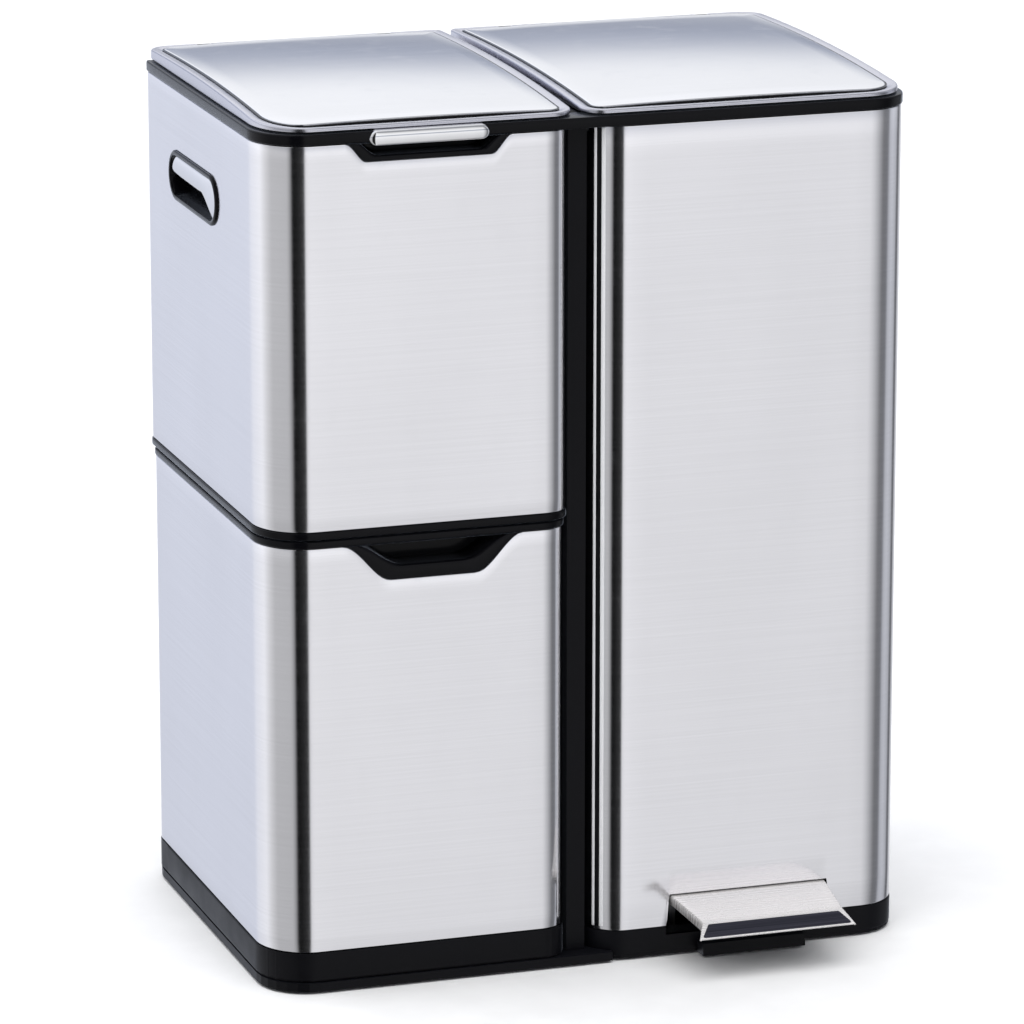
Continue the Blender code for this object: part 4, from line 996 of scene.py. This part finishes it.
@dataclass(frozen=True)
class Scoop:
    """A black moulding let into a front, with a lip round a dark hollow.

    Its outline is the dip cut for it, closed along the top, and each ring of points is
    that outline moved inward and back.

    Attributes:
        name: the piece's name.
        dip: the outline.
        top: height of its upper edge.
        lip_side: width of the lip at the sides.
        lip_height: height of the lip below the hollow.
        depth: depth of the hollow.
        proud: how far it stands out of the front.
    """

    name: str
    dip: Dip
    top: float
    lip_side: float
    lip_height: float
    depth: float
    proud: float = BAND_PROUD

    def ring(self, y: float, side: float, rise: float, sink: float = 0.0) -> Array:
        """The outline moved in by side at its flanks, up by rise and down by sink."""
        x = self.dip.places(side)
        top = self.top - sink
        low = np.minimum(self.top - (self.dip.depth - rise) * self.dip.share(x, side), top)
        loop_x = np.concatenate([x, x[::-1]])
        loop_z = np.concatenate([low, np.full(len(x), top)])
        return np.stack([loop_x, np.full(len(loop_x), y), loop_z], -1)

    def build(self) -> bpy.types.Object:
        """Returns the moulding as an object."""
        face, side, rise = FRONT - self.proud, self.lip_side, self.lip_height
        steps = (
            (FRONT + self.depth + 0.001, 0.0, 0.0, 0.0),
            (face + 0.0007, 0.0, 0.0, 0.0),
            (face + 0.0002, 0.0002, 0.0002, 0.0),
            (face, 0.0007, 0.0007, 0.0),
            (face, side - 0.0012, rise - 0.0012, 0.0001),
            (face + 0.0002, side - 0.0006, rise - 0.0006, 0.0002),
            (face + 0.0010, side, rise, 0.0003),
            (face + 0.0040, side + 0.0004, rise + 0.0003, 0.0004),
            (FRONT + self.depth * 0.8, side + 0.0010, rise + 0.0002, 0.0004),
            (FRONT + self.depth, side + 0.0030, rise + 0.0010, 0.0010),
        )
        rows = np.stack([self.ring(*step) for step in steps])
        return Skin.closed_over(rows).make(self.name, GLOSS_BLACK)


# ---------------------------------------------------------------- side handles


@dataclass(frozen=True)
class SideHandle:
    """A carrying handle: an oval black cup with a bright hood over its upper half.

    Attributes:
        name: the handle's name ending.
        side: the side of the body it is on.
        length, height: its size.
        depth: depth of the cup.
        proud: how far its rim stands out.
        rim: width of the rim.
    """

    name: str
    side: Face
    length: float = 0.1300
    height: float = 0.0380
    depth: float = 0.0150
    proud: float = 0.0020
    rim: float = 0.0038

    @property
    def wall(self) -> float:
        """X of the body's side."""
        return LEFT if self.side is Face.LEFT else RIGHT

    def ring(self, inset: float, out: float) -> Array:
        """An oval moved inward, at a distance out of the wall."""
        oval = stadium(self.length - 2 * inset, self.height - 2 * inset)
        x = np.full(len(oval), self.wall + self.side.value * out)
        return np.stack([x, HANDLE_Y + oval[:, 0], HANDLE_Z + oval[:, 1]], -1)

    def build_cup(self) -> bpy.types.Object:
        """Rings from the back, over the rim and down the hollow."""
        steps = (
            (0.0, -self.depth),
            (0.0, 0.0004),
            (0.0002, 0.0012),
            (0.0010, 0.0018),
            (0.0022, self.proud),
            (0.0036, 0.0017),
            (self.rim, 0.0008),
            (self.rim + 0.0006, -0.0040),
            (self.rim + 0.0016, -0.0100),
            (self.rim + 0.0045, -self.depth + 0.0020),
        )
        rows = np.stack([self.ring(inset, out) for inset, out in steps])
        return Skin.closed_over(rows).make(f"handle_bezel_{self.name}", GLOSS_BLACK)

    def build_hood(self) -> bpy.types.Object:
        """A rounded shield whose upper edge follows the oval, with a straight, soft lower lip.

        A point is a share t across the height at each place along Y, pushed out by sin(pi t)^0.6.
        """
        inner = self.height / 2 - self.rim - GAP
        half = self.length / 2 - self.rim - GAP
        reach = half - inner
        y = half * np.sin(np.linspace(-math.pi / 2, math.pi / 2, 61)) * 0.9985
        past = np.clip(np.abs(y) - reach, 0.0, None)
        top = np.sqrt(np.maximum(inner**2 - past**2, 0.0))
        low = inner - 0.0150 - (2 * inner - 0.0150) * smoothstep(-y, half - 0.0440, half - 0.0060)
        low = np.minimum(low, top - 0.0004)
        low = np.maximum(low, -top + 0.0002)
        share = np.linspace(0.0, 1.0, 15)
        z = low[None] + (top - low)[None] * share[:, None]
        bulge = 0.0014 * np.sin(math.pi * share) ** 0.6
        fade = np.sqrt(np.clip((top - low) / 0.0150, 0.0, 1.0))
        out = -0.0012 + bulge[:, None] * fade[None] + 0.0008
        x = self.wall + self.side.value * out
        outer = np.stack([x, np.broadcast_to(HANDLE_Y + y, z.shape), HANDLE_Z + z], -1)
        inner_rows = outer.copy()
        inner_rows[..., 0] = self.wall - self.side.value * 0.0016
        front, back = Skin.over(outer, around=False), Skin.over(inner_rows, around=False)
        sides = []
        for first, second in (
            (outer[0], inner_rows[0]),
            (outer[-1], inner_rows[-1]),
            (outer[:, 0], inner_rows[:, 0]),
            (outer[:, -1], inner_rows[:, -1]),
        ):
            sides.append(Skin.over(np.stack([first, second]), around=False))
        return front.joined(back, *sides).make(f"handle_shield_{self.name}", CHROME)

    def dress(self) -> None:
        """Sets the handle into the cabinet."""
        cup, hood = self.build_cup(), self.build_hood()
        for piece, node, finish in (
            (cup, f"handle_cup_{self.name}", GLOSS_BLACK),
            (hood, f"handle_hood_{self.name}", CHROME),
        ):
            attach(piece, "cabinet")
            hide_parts(node)


# ---------------------------------------------------------------- pedal


@dataclass(frozen=True)
class PedalTread:
    """The bent pedal plate: a long sloping tread, a ridge, and a steep front with a recess.

    Along Y it passes through root, ridge and front; across X the tread is flat and rolls
    down at both sides. The half width narrows to the ridge and flares at the front.

    Attributes:
        root_y, ridge_y, front_y, root_z, ridge_z, front_z: the three lines it passes through.
        root_half, ridge_half, front_half: its half width at each.
        skirt: how far the sides hang down.
        lowest: the height that no point goes under.
        bend: radius of the roll at both sides.
        sheet: thickness of the plate.
        pad_low_half, pad_high_half: half width of the pad at its foot and at its top.
        pad_from, pad_to: where the pad starts and ends, as shares of the slope.
    """

    root_y: float = FRONT + 0.0080
    ridge_y: float = FRONT - 0.0520
    front_y: float = FRONT - 0.0640
    root_z: float = 0.04745
    ridge_z: float = 0.04195
    front_z: float = 0.03300
    root_half: float = 0.0620
    ridge_half: float = 0.0555
    front_half: float = 0.0615
    skirt: float = 0.0068
    lowest: float = 0.0322
    bend: float = 0.0013
    sheet: float = 0.0014
    pad_low_half: float = 0.0588
    pad_high_half: float = 0.0512
    pad_from: float = 0.06
    pad_to: float = 0.84

    def build(self) -> bpy.types.Object:
        """Returns the plate as an object."""
        along = np.concatenate(
            [np.linspace(0.0, 0.94, 16), np.linspace(0.96, 1.04, 7), np.linspace(1.1, 2.0, 10)]
        )
        y = np.interp(along, (0.0, 1.0, 2.0), (self.root_y, self.ridge_y, self.front_y))
        z = np.interp(along, (0.0, 1.0, 2.0), (self.root_z, self.ridge_z, self.front_z))
        soften = 0.0005 * np.exp(-(((along - 1.0) / 0.03) ** 2))
        z = z - soften
        half = np.interp(along, (0.0, 1.0, 2.0), (self.root_half, self.ridge_half, self.front_half))
        skirt = np.interp(along, (0.0, 1.0, 2.0), (self.skirt, self.skirt, 0.0010))
        edge = self.bend
        turn = np.linspace(0.0, math.pi / 2, 5)
        side_x = np.concatenate([np.zeros(1), edge * (1 - np.cos(turn))])
        side_drop = np.concatenate([np.ones(1), np.zeros(5)])
        side_edge = np.concatenate([np.zeros(1), edge * (1 - np.sin(turn))])
        flat = np.linspace(-1.0, 1.0, 24)[1:-1]
        left_x = -half[:, None] + side_x[None]
        left_z = z[:, None] - skirt[:, None] * side_drop[None] - np.minimum(side_edge, skirt[:, None])
        reach = half - edge
        rows_x = np.concatenate([left_x, flat[None] * reach[:, None], -left_x[:, ::-1]], 1)
        level = np.broadcast_to(z[:, None], (len(z), len(flat)))
        rows_z = np.maximum(np.concatenate([left_z, level, left_z[:, ::-1]], 1), self.lowest)
        rows = np.stack([PEDAL_X + rows_x, np.broadcast_to(y[:, None], rows_x.shape), rows_z], -1)
        return Skin.over(rows, around=False).make("pedal_tread", PEDAL_STEEL, wall=self.sheet)

    def build_recess(self) -> bpy.types.Object:
        """The pad on the pedal's steep front, as rings of a trapezoid on that slope; its steel is
        coloured near-black as painted shade of the recess.

        A point is share along the slope from the front's foot up to the ridge, and out
        along the slope's normal.
        """
        run, rise = self.ridge_y - self.front_y, self.ridge_z - self.front_z
        slope = math.hypot(run, rise)
        low, high = slope * self.pad_from, slope * self.pad_to
        wide, narrow = self.pad_low_half, self.pad_high_half
        corners = np.array([(-wide, low), (wide, low), (narrow, high), (-narrow, high)])
        steps = ((0.0, 0.0), (0.0, 0.0003), (0.0002, 0.0005), (0.0006, 0.0006), (0.0030, 0.0006))
        rings = []
        for inset, out in steps:
            loop = rounded_polygon(corners, (0.0012, 0.0012, 0.0022, 0.0022), inset)
            share = loop[:, 1] / slope
            y = self.front_y + run * share - out * rise / slope
            z = self.front_z + rise * share + out * run / slope
            rings.append(np.stack([PEDAL_X + loop[:, 0], y, z], -1))
        # The pad's near-black steel is painted shade of the recess.
        return Skin.closed_over(np.stack(rings)).make("pedal_pad", PAD_STEEL_PAINTED_SHADE)

    def dress(self) -> None:
        """Sets the tread and its pad on the pedal."""
        tread = self.build()
        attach(tread, "pedal")
        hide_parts("pedal_plate")
        pad = self.build_recess()
        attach(pad, "pedal")



# ---------------------------------------------------------------- body


@dataclass(frozen=True)
class Cabinet:
    """The fixed skins: shells, collar, trims, carrying handles, and rods on the right column's inner
    corner that paint its highlights and a dark reflection.

    Attributes:
        collar_foot, collar_head: radii of the collar's lower and upper outer edge.
        collar_land: width of the collar's flat top before its mouth.
        collar_wall, collar_mouth: insets of the lip that hangs in the mouth, outside and inside.
        collar_step: how far the collar steps down behind the lids.
        bridge_half, bridge_end: the bridge's half width, and its distance from front and rear.
        hang: how far the lip and the bridge hang below the shells' top.
        pedal_gap, pedal_gap_top: half width and height of the plinth's low part under the pedal.
        ring_width: how far the plinth ring reaches inward.
        rod_sides: points round one of the rods that paint the corner's highlights and dark reflection.
    """

    collar_foot: float = 0.0012
    collar_head: float = 0.0016
    collar_land: float = 0.0150
    collar_wall: float = 0.0196
    collar_mouth: float = 0.0208
    collar_step: float = 0.0030
    bridge_half: float = 0.0205
    bridge_end: float = 0.0190
    hang: float = 0.006
    pedal_gap: float = 0.0655
    pedal_gap_top: float = 0.0170
    ring_width: float = 0.0200
    rod_sides: int = 12

    def build_shells(self) -> tuple[bpy.types.Object, bpy.types.Object]:
        """The steel walls of the right and of the upper left column."""
        pedal_way = Dip(Edge.BOTTOM, PEDAL_X, 0.1300, 0.1240, 0.0243)
        right = SteelShell(
            "steel_wall_right", RIGHT_PLAN, PLINTH_TOP + GAP, SHELL_TOP - GAP, (pedal_way,), Face.RIGHT
        )
        left = SteelShell(
            "steel_wall_left", LEFT_PLAN, TRIM_TOP + GAP, SHELL_TOP - GAP, (LIP_TAB,), Face.LEFT
        )
        return right.build(), left.build()

    def collar_top(self, x: Array, y: Array) -> Array:
        """The collar steps down behind the lids for the hinges."""
        return BODY_TOP - self.collar_step * smoothstep(y, HINGE_Y - 0.0105, HINGE_Y - 0.0090)

    def build_collar(self) -> list[bpy.types.Object]:
        """One ring round the whole body, and the slab that bridges it between the two mouths."""
        edge, low, high = BAND_PROUD, self.collar_foot, self.collar_head
        corners = (SHELL_CORNER, (0.034, 0.034), (0.022, 0.022), (0.022, 0.022))
        plan = Plan(LEFT - edge, RIGHT + edge, FRONT - edge, REAR + edge, corners)
        turn = np.linspace(0.0, math.pi / 2, 5)
        foot = [(low * (1 - math.sin(t)), SHELL_TOP + low * (1 - math.cos(t))) for t in turn]
        head = [(high * (1 - math.cos(t)), BODY_TOP - high * (1 - math.sin(t))) for t in turn]
        mouth, wall, hung = self.collar_mouth, self.collar_wall, SHELL_TOP - self.hang
        section = foot + head + [(self.collar_land, BODY_TOP), (0.0205, BODY_TOP)]
        section += [(mouth, BODY_TOP - 0.0004), (mouth, hung), (wall, hung), (wall, SHELL_TOP)]
        ring = Band("collar_ring", plan, tuple(section), GLOSS_BLACK).build(self.collar_top)
        half, end = self.bridge_half, self.bridge_end
        slab = Plan(
            LID_MIDDLE - half, LID_MIDDLE + half, FRONT + end, REAR - end, ((0.002, 0.002),) * 4
        )
        rows = []
        steps = ((0.002, hung), (0.0, hung), (0.0, BODY_TOP - 0.0006), (0.0006, BODY_TOP - 0.0002))
        for inset, z in steps:
            loop = slab.loop(inset)
            rows.append(lift(loop, np.minimum(z, self.collar_top(loop[:, 0], loop[:, 1]) - 0.0002)))
        return [ring, Skin.closed_over(np.stack(rows)).make("collar_bridge", GLOSS_BLACK)]

    def build_corner_reflections(self) -> list[bpy.types.Object]:
        """Two bright beads and a dark line between them, down the inner corner of the right column:
        painted highlights and a painted dark reflection of the gap between the columns.

        Each is a slim oval rod, set at an angle round the corner's arc.
        """
        made = []
        turn = np.linspace(0.0, 2 * math.pi, self.rod_sides, endpoint=False)
        radius = RIGHT_PLAN.corners[0][0]
        middle = (SPLIT_RIGHT + radius, FRONT + radius)
        straight = np.linspace(0.03, SHELL_TOP - 0.004, 8)
        z = np.concatenate([[0.0262, 0.0266], straight, [SHELL_TOP - 0.0020, SHELL_TOP - 0.0016]])
        size = np.concatenate([[0.5], np.ones(10), [0.5]])
        # The bright rods are painted highlights, the black rod a painted dark reflection.
        for name, degrees, width, finish in (
            ("outer", 54.0, 0.0013, CORNER_HIGHLIGHT),
            ("line", 47.5, 0.0022, GLOSS_BLACK),
            ("inner", 41.5, 0.0017, CORNER_HIGHLIGHT),
        ):
            angle = math.radians(degrees)
            out = np.array([-math.sin(angle), -math.cos(angle)])
            along = np.array([out[1], -out[0]])
            centre = np.array(middle) + out * (radius + 0.0001)
            ring = centre + along * width * np.cos(turn)[:, None] + out * 0.0005 * np.sin(turn)[:, None]
            ring = centre + (ring[None] - centre) * size[:, None, None]
            rows = np.concatenate([ring, np.broadcast_to(z[:, None, None], (len(z), len(turn), 1))], -1)
            made.append(Skin.closed_over(rows).make(f"painted_corner_reflection_{name}", finish))
        return made

    def build_base(self) -> bpy.types.Object:
        """The plinth's smooth ring, lower under the pedal."""
        edges = (PEDAL_X - 0.0656, PEDAL_X - 0.0654, PEDAL_X + 0.0654, PEDAL_X + 0.0656)
        section = soft_section(-BAND_PROUD / 2, self.ring_width, 0.0040, PLINTH_TOP, 0.0010)
        rows = np.stack([lift(RIGHT_PLAN.loop(inset, front=edges), z) for inset, z in section])
        under = (np.abs(rows[..., 0] - PEDAL_X) < self.pedal_gap) & (rows[..., 1] < FRONT + 0.030)
        rows[..., 2] = np.minimum(rows[..., 2], np.where(under, self.pedal_gap_top, PLINTH_TOP))
        return Skin.over(rows, closed=True).make("plinth_ring", MATTE_BLACK)

    def dress(self) -> None:
        """Builds every fixed skin and sets it on the cabinet."""
        right, left = self.build_shells()
        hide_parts("right_shell")
        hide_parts("upper_left_shell")
        collar = self.build_collar()
        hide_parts("collar")
        section = soft_section(-BAND_PROUD, BAND_INNER, TRIM_BOTTOM, TRIM_TOP, BAND_EDGE)
        trim = Band("trim_ring", LEFT_PLAN, section, GLOSS_BLACK).build()
        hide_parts("middle_trim")
        recess = Scoop("lip_recess", LIP_TAB, SHELL_TOP - GAP, 0.0080, 0.0036, 0.0165, proud=0.0010)
        pocket = recess.build()
        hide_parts("grip_pocket")
        edges = self.build_corner_reflections()
        plinth = self.build_base()
        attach(plinth, "cabinet")
        for piece in (right, left, *collar, trim, pocket, *edges):
            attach(piece, "cabinet")
        for name, side in (("left", Face.LEFT), ("right", Face.RIGHT)):
            SideHandle(name, side).dress()


@dataclass(frozen=True)
class Drawer:
    """The skins of the sliding drawer: its wall, its rim, its scooped grip and its foot.

    Attributes:
        foot_sheet: thickness of the foot's skirt.
        foot_open: distance from the rear at which the skirt ends.
    """

    foot_sheet: float = 0.0012
    foot_open: float = 0.0240

    def build_foot(self) -> bpy.types.Object:
        """A smooth skirt round the base, open at the rear where the rails run."""
        section = soft_section(-BAND_PROUD, self.foot_sheet, DRAWER_BOTTOM, DRAWER_BASE_TOP, 0.0010)
        rings = np.stack([lift(DRAWER_PLAN.loop(inset), z) for inset, z in section])
        ahead = rings[0, :, 1] < DRAWER_REAR - self.foot_open
        first = int(np.argmax(ahead & ~np.roll(ahead, 1)))
        rings = np.roll(rings, -first, axis=1)[:, : int(ahead.sum())]
        rows = rings.transpose(1, 0, 2)
        return Skin.closed_over(rows).make("drawer_foot", MATTE_BLACK)

    def dress(self) -> None:
        """Builds the skins and sets them on the drawer."""
        wall = SteelShell(
            "steel_wall_drawer",
            DRAWER_PLAN,
            DRAWER_BASE_TOP + GAP,
            DRAWER_SHELL_TOP - GAP,
            (GRIP_DIP,),
        ).build()
        section = soft_section(-BAND_PROUD, BAND_INNER, DRAWER_SHELL_TOP, DRAWER_RIM_TOP, BAND_EDGE)
        rim = Band("drawer_rim_ring", DRAWER_PLAN, section, GLOSS_BLACK).build()
        grip = Scoop("drawer_scoop", GRIP_DIP, DRAWER_SHELL_TOP - GAP, 0.0085, 0.0100, 0.0200).build()
        foot = self.build_foot()
        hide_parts("drawer_shell")
        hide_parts("drawer_rim")
        for piece in (wall, rim, grip, foot):
            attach(piece, "drawer")


class FrameDresser:
    """Repaints the frame's own solids."""

    FINISHES = (
        ("bucket_", BUCKET),
        ("foot_", RUBBER),
        ("rear_screw", ZINC),
        ("hinge_pin", ZINC),
        ("drawer_rail", ZINC),
        ("axle_bracket", ZINC),
        ("pedal_axle", ZINC),
        ("pedal_lever", ZINC),
        ("lift_rod", ZINC),
        ("lid_crank", ZINC),
    )

    def dress(self) -> None:
        """Gives each node the finish that its name starts with, or else matte black."""
        for name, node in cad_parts.items():
            fitting = (made for start, made in self.FINISHES if name.startswith(start))
            finish = next(fitting, MATTE_BLACK)
            if name.endswith("_handle"):
                finish = ZINC
            node.data.materials.clear()
            node.data.materials.append(finish.material())
        LOG.info("%d frame nodes repainted", len(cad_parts))


# ---------------------------------------------------------------- stage


@dataclass(frozen=True)
class Studio:
    """The floor, the soft light and the camera.

    Attributes:
        aim: the point that the camera looks at.
        azimuth: the camera's turn from the front, towards -X if negative.
        elevation: its height above the horizon.
        distance: how far it stands from the aim.
        lens, sensor: focal length and sensor width, in millimetres.
        lamp_place, lamp_size: the overhead lamp's place and the length of its sides.
        sky_turn, sky_spread: lean of the even light in degrees, and its width.
    """

    aim: tuple[float, float, float] = (-0.0576, -0.1190, 0.3479)
    azimuth: float = -18.277
    elevation: float = 14.73
    distance: float = 4.600
    lens: float = 222.6
    sensor: float = 36.0
    lamp_place: tuple[float, float, float] = (-0.3, -0.4, 3.4)
    lamp_size: float = 3.2
    sky_turn: tuple[float, float] = (8.0, -6.0)
    sky_spread: float = 100.0

    def build_floor(self) -> None:
        """A wide floor that steel doesn't mirror, so that the walls show the room's light only."""
        reach = 30.0
        axis = np.linspace(-reach, reach, 9)
        x, y = np.meshgrid(axis, axis)
        rows = np.stack([x, y, np.zeros_like(x)], -1)
        floor = Skin.over(rows, around=False).make("floor", FLOOR)
        floor.visible_glossy = False

    def build_world(self) -> None:
        """The room: brightness by compass direction, times brightness by height above the horizon."""
        world = bpy.data.worlds.new("room")
        world.use_nodes = True
        bpy.context.scene.world = world
        tree = world.node_tree
        background = tree.nodes["Background"]
        place = tree.nodes.new("ShaderNodeTexCoord")
        split = tree.nodes.new("ShaderNodeSeparateXYZ")
        tree.links.new(place.outputs["Generated"], split.inputs["Vector"])
        turned = self.arithmetic(tree, "MULTIPLY", split.outputs["X"], -1.0)
        ahead = self.arithmetic(tree, "MULTIPLY", split.outputs["Y"], -1.0)
        angle = self.arithmetic(tree, "ARCTAN2", turned, ahead)
        share = self.arithmetic(tree, "MULTIPLY_ADD", angle, 0.5 / math.pi, 0.5)
        compass = self.ramp(tree, share, COMPASS, lambda degrees: degrees / 360.0 + 0.5)
        rise = self.arithmetic(tree, "ARCSINE", split.outputs["Z"], 0.0)
        level = self.arithmetic(tree, "MULTIPLY_ADD", rise, 1.0 / math.pi, 0.5)
        height = self.ramp(tree, level, ELEVATION, lambda degrees: degrees / 180.0 + 0.5)
        product = tree.nodes.new("ShaderNodeMix")
        product.data_type = "RGBA"
        product.blend_type = "MULTIPLY"
        product.inputs["Factor"].default_value = 1.0
        colours = [socket for socket in product.inputs if socket.type == "RGBA"]
        tree.links.new(compass, colours[0])
        tree.links.new(height, colours[1])
        result = next(socket for socket in product.outputs if socket.type == "RGBA")
        tree.links.new(result, background.inputs["Color"])
        background.inputs["Strength"].default_value = WORLD_STRENGTH

    @staticmethod
    def arithmetic(
        tree: bpy.types.NodeTree,
        operation: str,
        first: bpy.types.NodeSocket,
        second: bpy.types.NodeSocket | float,
        third: float = 0.0,
    ) -> bpy.types.NodeSocket:
        """One sum in the world's tree."""
        node = tree.nodes.new("ShaderNodeMath")
        node.operation = operation
        tree.links.new(first, node.inputs[0])
        if isinstance(second, float):
            node.inputs[1].default_value = second
        else:
            tree.links.new(second, node.inputs[1])
        node.inputs[2].default_value = third
        return node.outputs["Value"]

    @staticmethod
    def ramp(
        tree: bpy.types.NodeTree,
        share: bpy.types.NodeSocket,
        stops: Sequence[tuple[float, Colour]],
        place: Callable[[float], float],
    ) -> bpy.types.NodeSocket:
        """A colour ramp through stops of (degrees, colour)."""
        node = tree.nodes.new("ShaderNodeValToRGB")
        elements = node.color_ramp.elements
        for number, (degrees, colour) in enumerate(stops):
            element = elements[number] if number < 2 else elements.new(place(degrees))
            element.position = place(degrees)
            element.color = (*colour, 1.0)
        tree.links.new(share, node.inputs["Fac"])
        return node.outputs["Color"]

    def build_lamps(self) -> None:
        """A broad lamp overhead and an even light, neither of them mirrored in the steel."""
        lamp = bpy.data.lights.new("overhead", "AREA")
        lamp.shape = "RECTANGLE"
        lamp.size, lamp.size_y = self.lamp_size, self.lamp_size
        lamp.energy = LAMP_POWER
        lamp.color = (1.0, 1.0, 1.0)
        made = bpy.data.objects.new("overhead", lamp)
        made.location = self.lamp_place
        made.visible_glossy = False
        bpy.context.scene.collection.objects.link(made)
        sky = bpy.data.lights.new("even_light", "SUN")
        sky.energy = SUN_POWER
        sky.angle = math.radians(self.sky_spread)
        high = bpy.data.objects.new("even_light", sky)
        high.visible_glossy = False
        high.rotation_euler = (*(math.radians(turn) for turn in self.sky_turn), 0.0)
        bpy.context.scene.collection.objects.link(high)

    def build_camera(self) -> None:
        """The camera, turned and lifted about the aim."""
        turn, rise = math.radians(self.azimuth), math.radians(self.elevation)
        level = math.cos(rise)
        back = Vector((math.sin(turn) * level, -math.cos(turn) * level, math.sin(rise)))
        data = bpy.data.cameras.new("camera")
        data.sensor_width = self.sensor
        data.lens = self.lens
        data.clip_start, data.clip_end = 0.1, 100.0
        made = bpy.data.objects.new("camera", data)
        made.location = Vector(self.aim) + back * self.distance
        made.rotation_mode = "QUATERNION"
        made.rotation_quaternion = (-back).to_track_quat("-Z", "Y")
        bpy.context.scene.collection.objects.link(made)
        bpy.context.scene.camera = made

    def build(self) -> None:
        """Sets up the whole stage."""
        self.build_floor()
        self.build_world()
        self.build_lamps()
        self.build_camera()
        scene = bpy.context.scene
        scene.view_settings.view_transform = "Standard"
        scene.view_settings.look = "None"


def grey(value: float, blue: float = 1.0) -> Colour:
    """A grey, with its blue raised and its red lowered a little."""
    return value * (1.0 - (blue - 1.0) * 0.35), value, value * blue


WORLD_STRENGTH = 1.0
LAMP_POWER = 40.0
SUN_POWER = 2.2
# The room round the object, by degrees from the front, towards the left side if positive
COMPASS = (
    (-180.0, grey(1.00, 1.05)),
    (-165.0, grey(0.93, 1.04)),
    (-150.0, grey(0.84, 1.04)),
    (-135.0, grey(0.72, 1.05)),
    (-128.0, grey(0.56, 1.06)),
    (-122.0, grey(0.16, 1.08)),
    (-114.0, grey(0.16, 1.08)),
    (-106.0, grey(0.50, 1.08)),
    (-90.0, grey(0.62, 1.08)),
    (-79.0, grey(0.54, 1.08)),
    (-71.0, grey(0.20, 1.08)),
    (-57.0, grey(0.20, 1.05)),
    (-46.0, grey(0.42, 1.04)),
    (-34.0, grey(0.64, 1.03)),
    (-24.0, grey(0.82, 1.02)),
    (-16.0, grey(0.92, 1.02)),
    (-4.0, grey(0.93, 1.02)),
    (5.0, grey(0.88, 1.02)),
    (8.5, grey(0.04, 1.03)),
    (35.0, grey(0.00, 1.03)),
    (40.0, grey(0.36, 1.02)),
    (47.0, grey(0.56, 1.02)),
    (84.0, grey(0.58, 1.02)),
    (98.0, grey(0.76, 1.02)),
    (114.0, grey(1.02, 1.04)),
    (146.0, grey(0.92, 1.08)),
    (164.0, grey(0.78, 1.14)),
    (174.0, grey(0.77, 1.12)),
    (180.0, grey(1.00, 1.05)),
)
# The same by degrees above the horizon
ELEVATION = (
    (-90.0, grey(0.80)),
    (-22.0, grey(0.84)),
    (-9.0, grey(0.98)),
    (-3.0, grey(1.10)),
    (3.0, grey(0.80, 1.04)),
    (7.0, grey(0.38, 1.20)),
    (9.0, grey(0.44, 1.22)),
    (10.5, grey(0.60, 1.12)),
    (12.5, grey(0.88, 1.04)),
    (14.5, grey(1.08, 1.00)),
    (17.0, grey(1.06)),
    (24.0, grey(1.15)),
    (50.0, grey(1.00)),
    (90.0, grey(0.86)),
)

LEFT_LID = Lid(
    "left",
    Plan(
        LEFT + 0.0030, LID_MIDDLE - LID_SPLIT / 2, LID_FRONT, LID_REAR,
        ((0.0350, 0.0450), (0.0180, 0.0180), (0.0080, 0.0080), (0.0190, 0.0190)),
    ),
)
RIGHT_LID = Lid(
    "right",
    Plan(
        LID_MIDDLE + LID_SPLIT / 2, RIGHT - 0.0030, LID_FRONT, LID_REAR,
        ((0.0180, 0.0180), (0.0310, 0.0310), (0.0190, 0.0190), (0.0080, 0.0080)),
    ),
)


def main() -> None:
    """Dresses the object in order, then sets the stage."""
    logging.basicConfig(level=logging.INFO, format="%(name)s %(message)s")
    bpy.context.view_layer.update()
    FrameDresser().dress()
    Cabinet().dress()
    Drawer().dress()
    LEFT_LID.dress("lid_left")
    RIGHT_LID.dress("lid_right")
    LipBar().dress()
    PedalTread().dress()
    Studio().build()


if __name__ == "__main__":
    main()
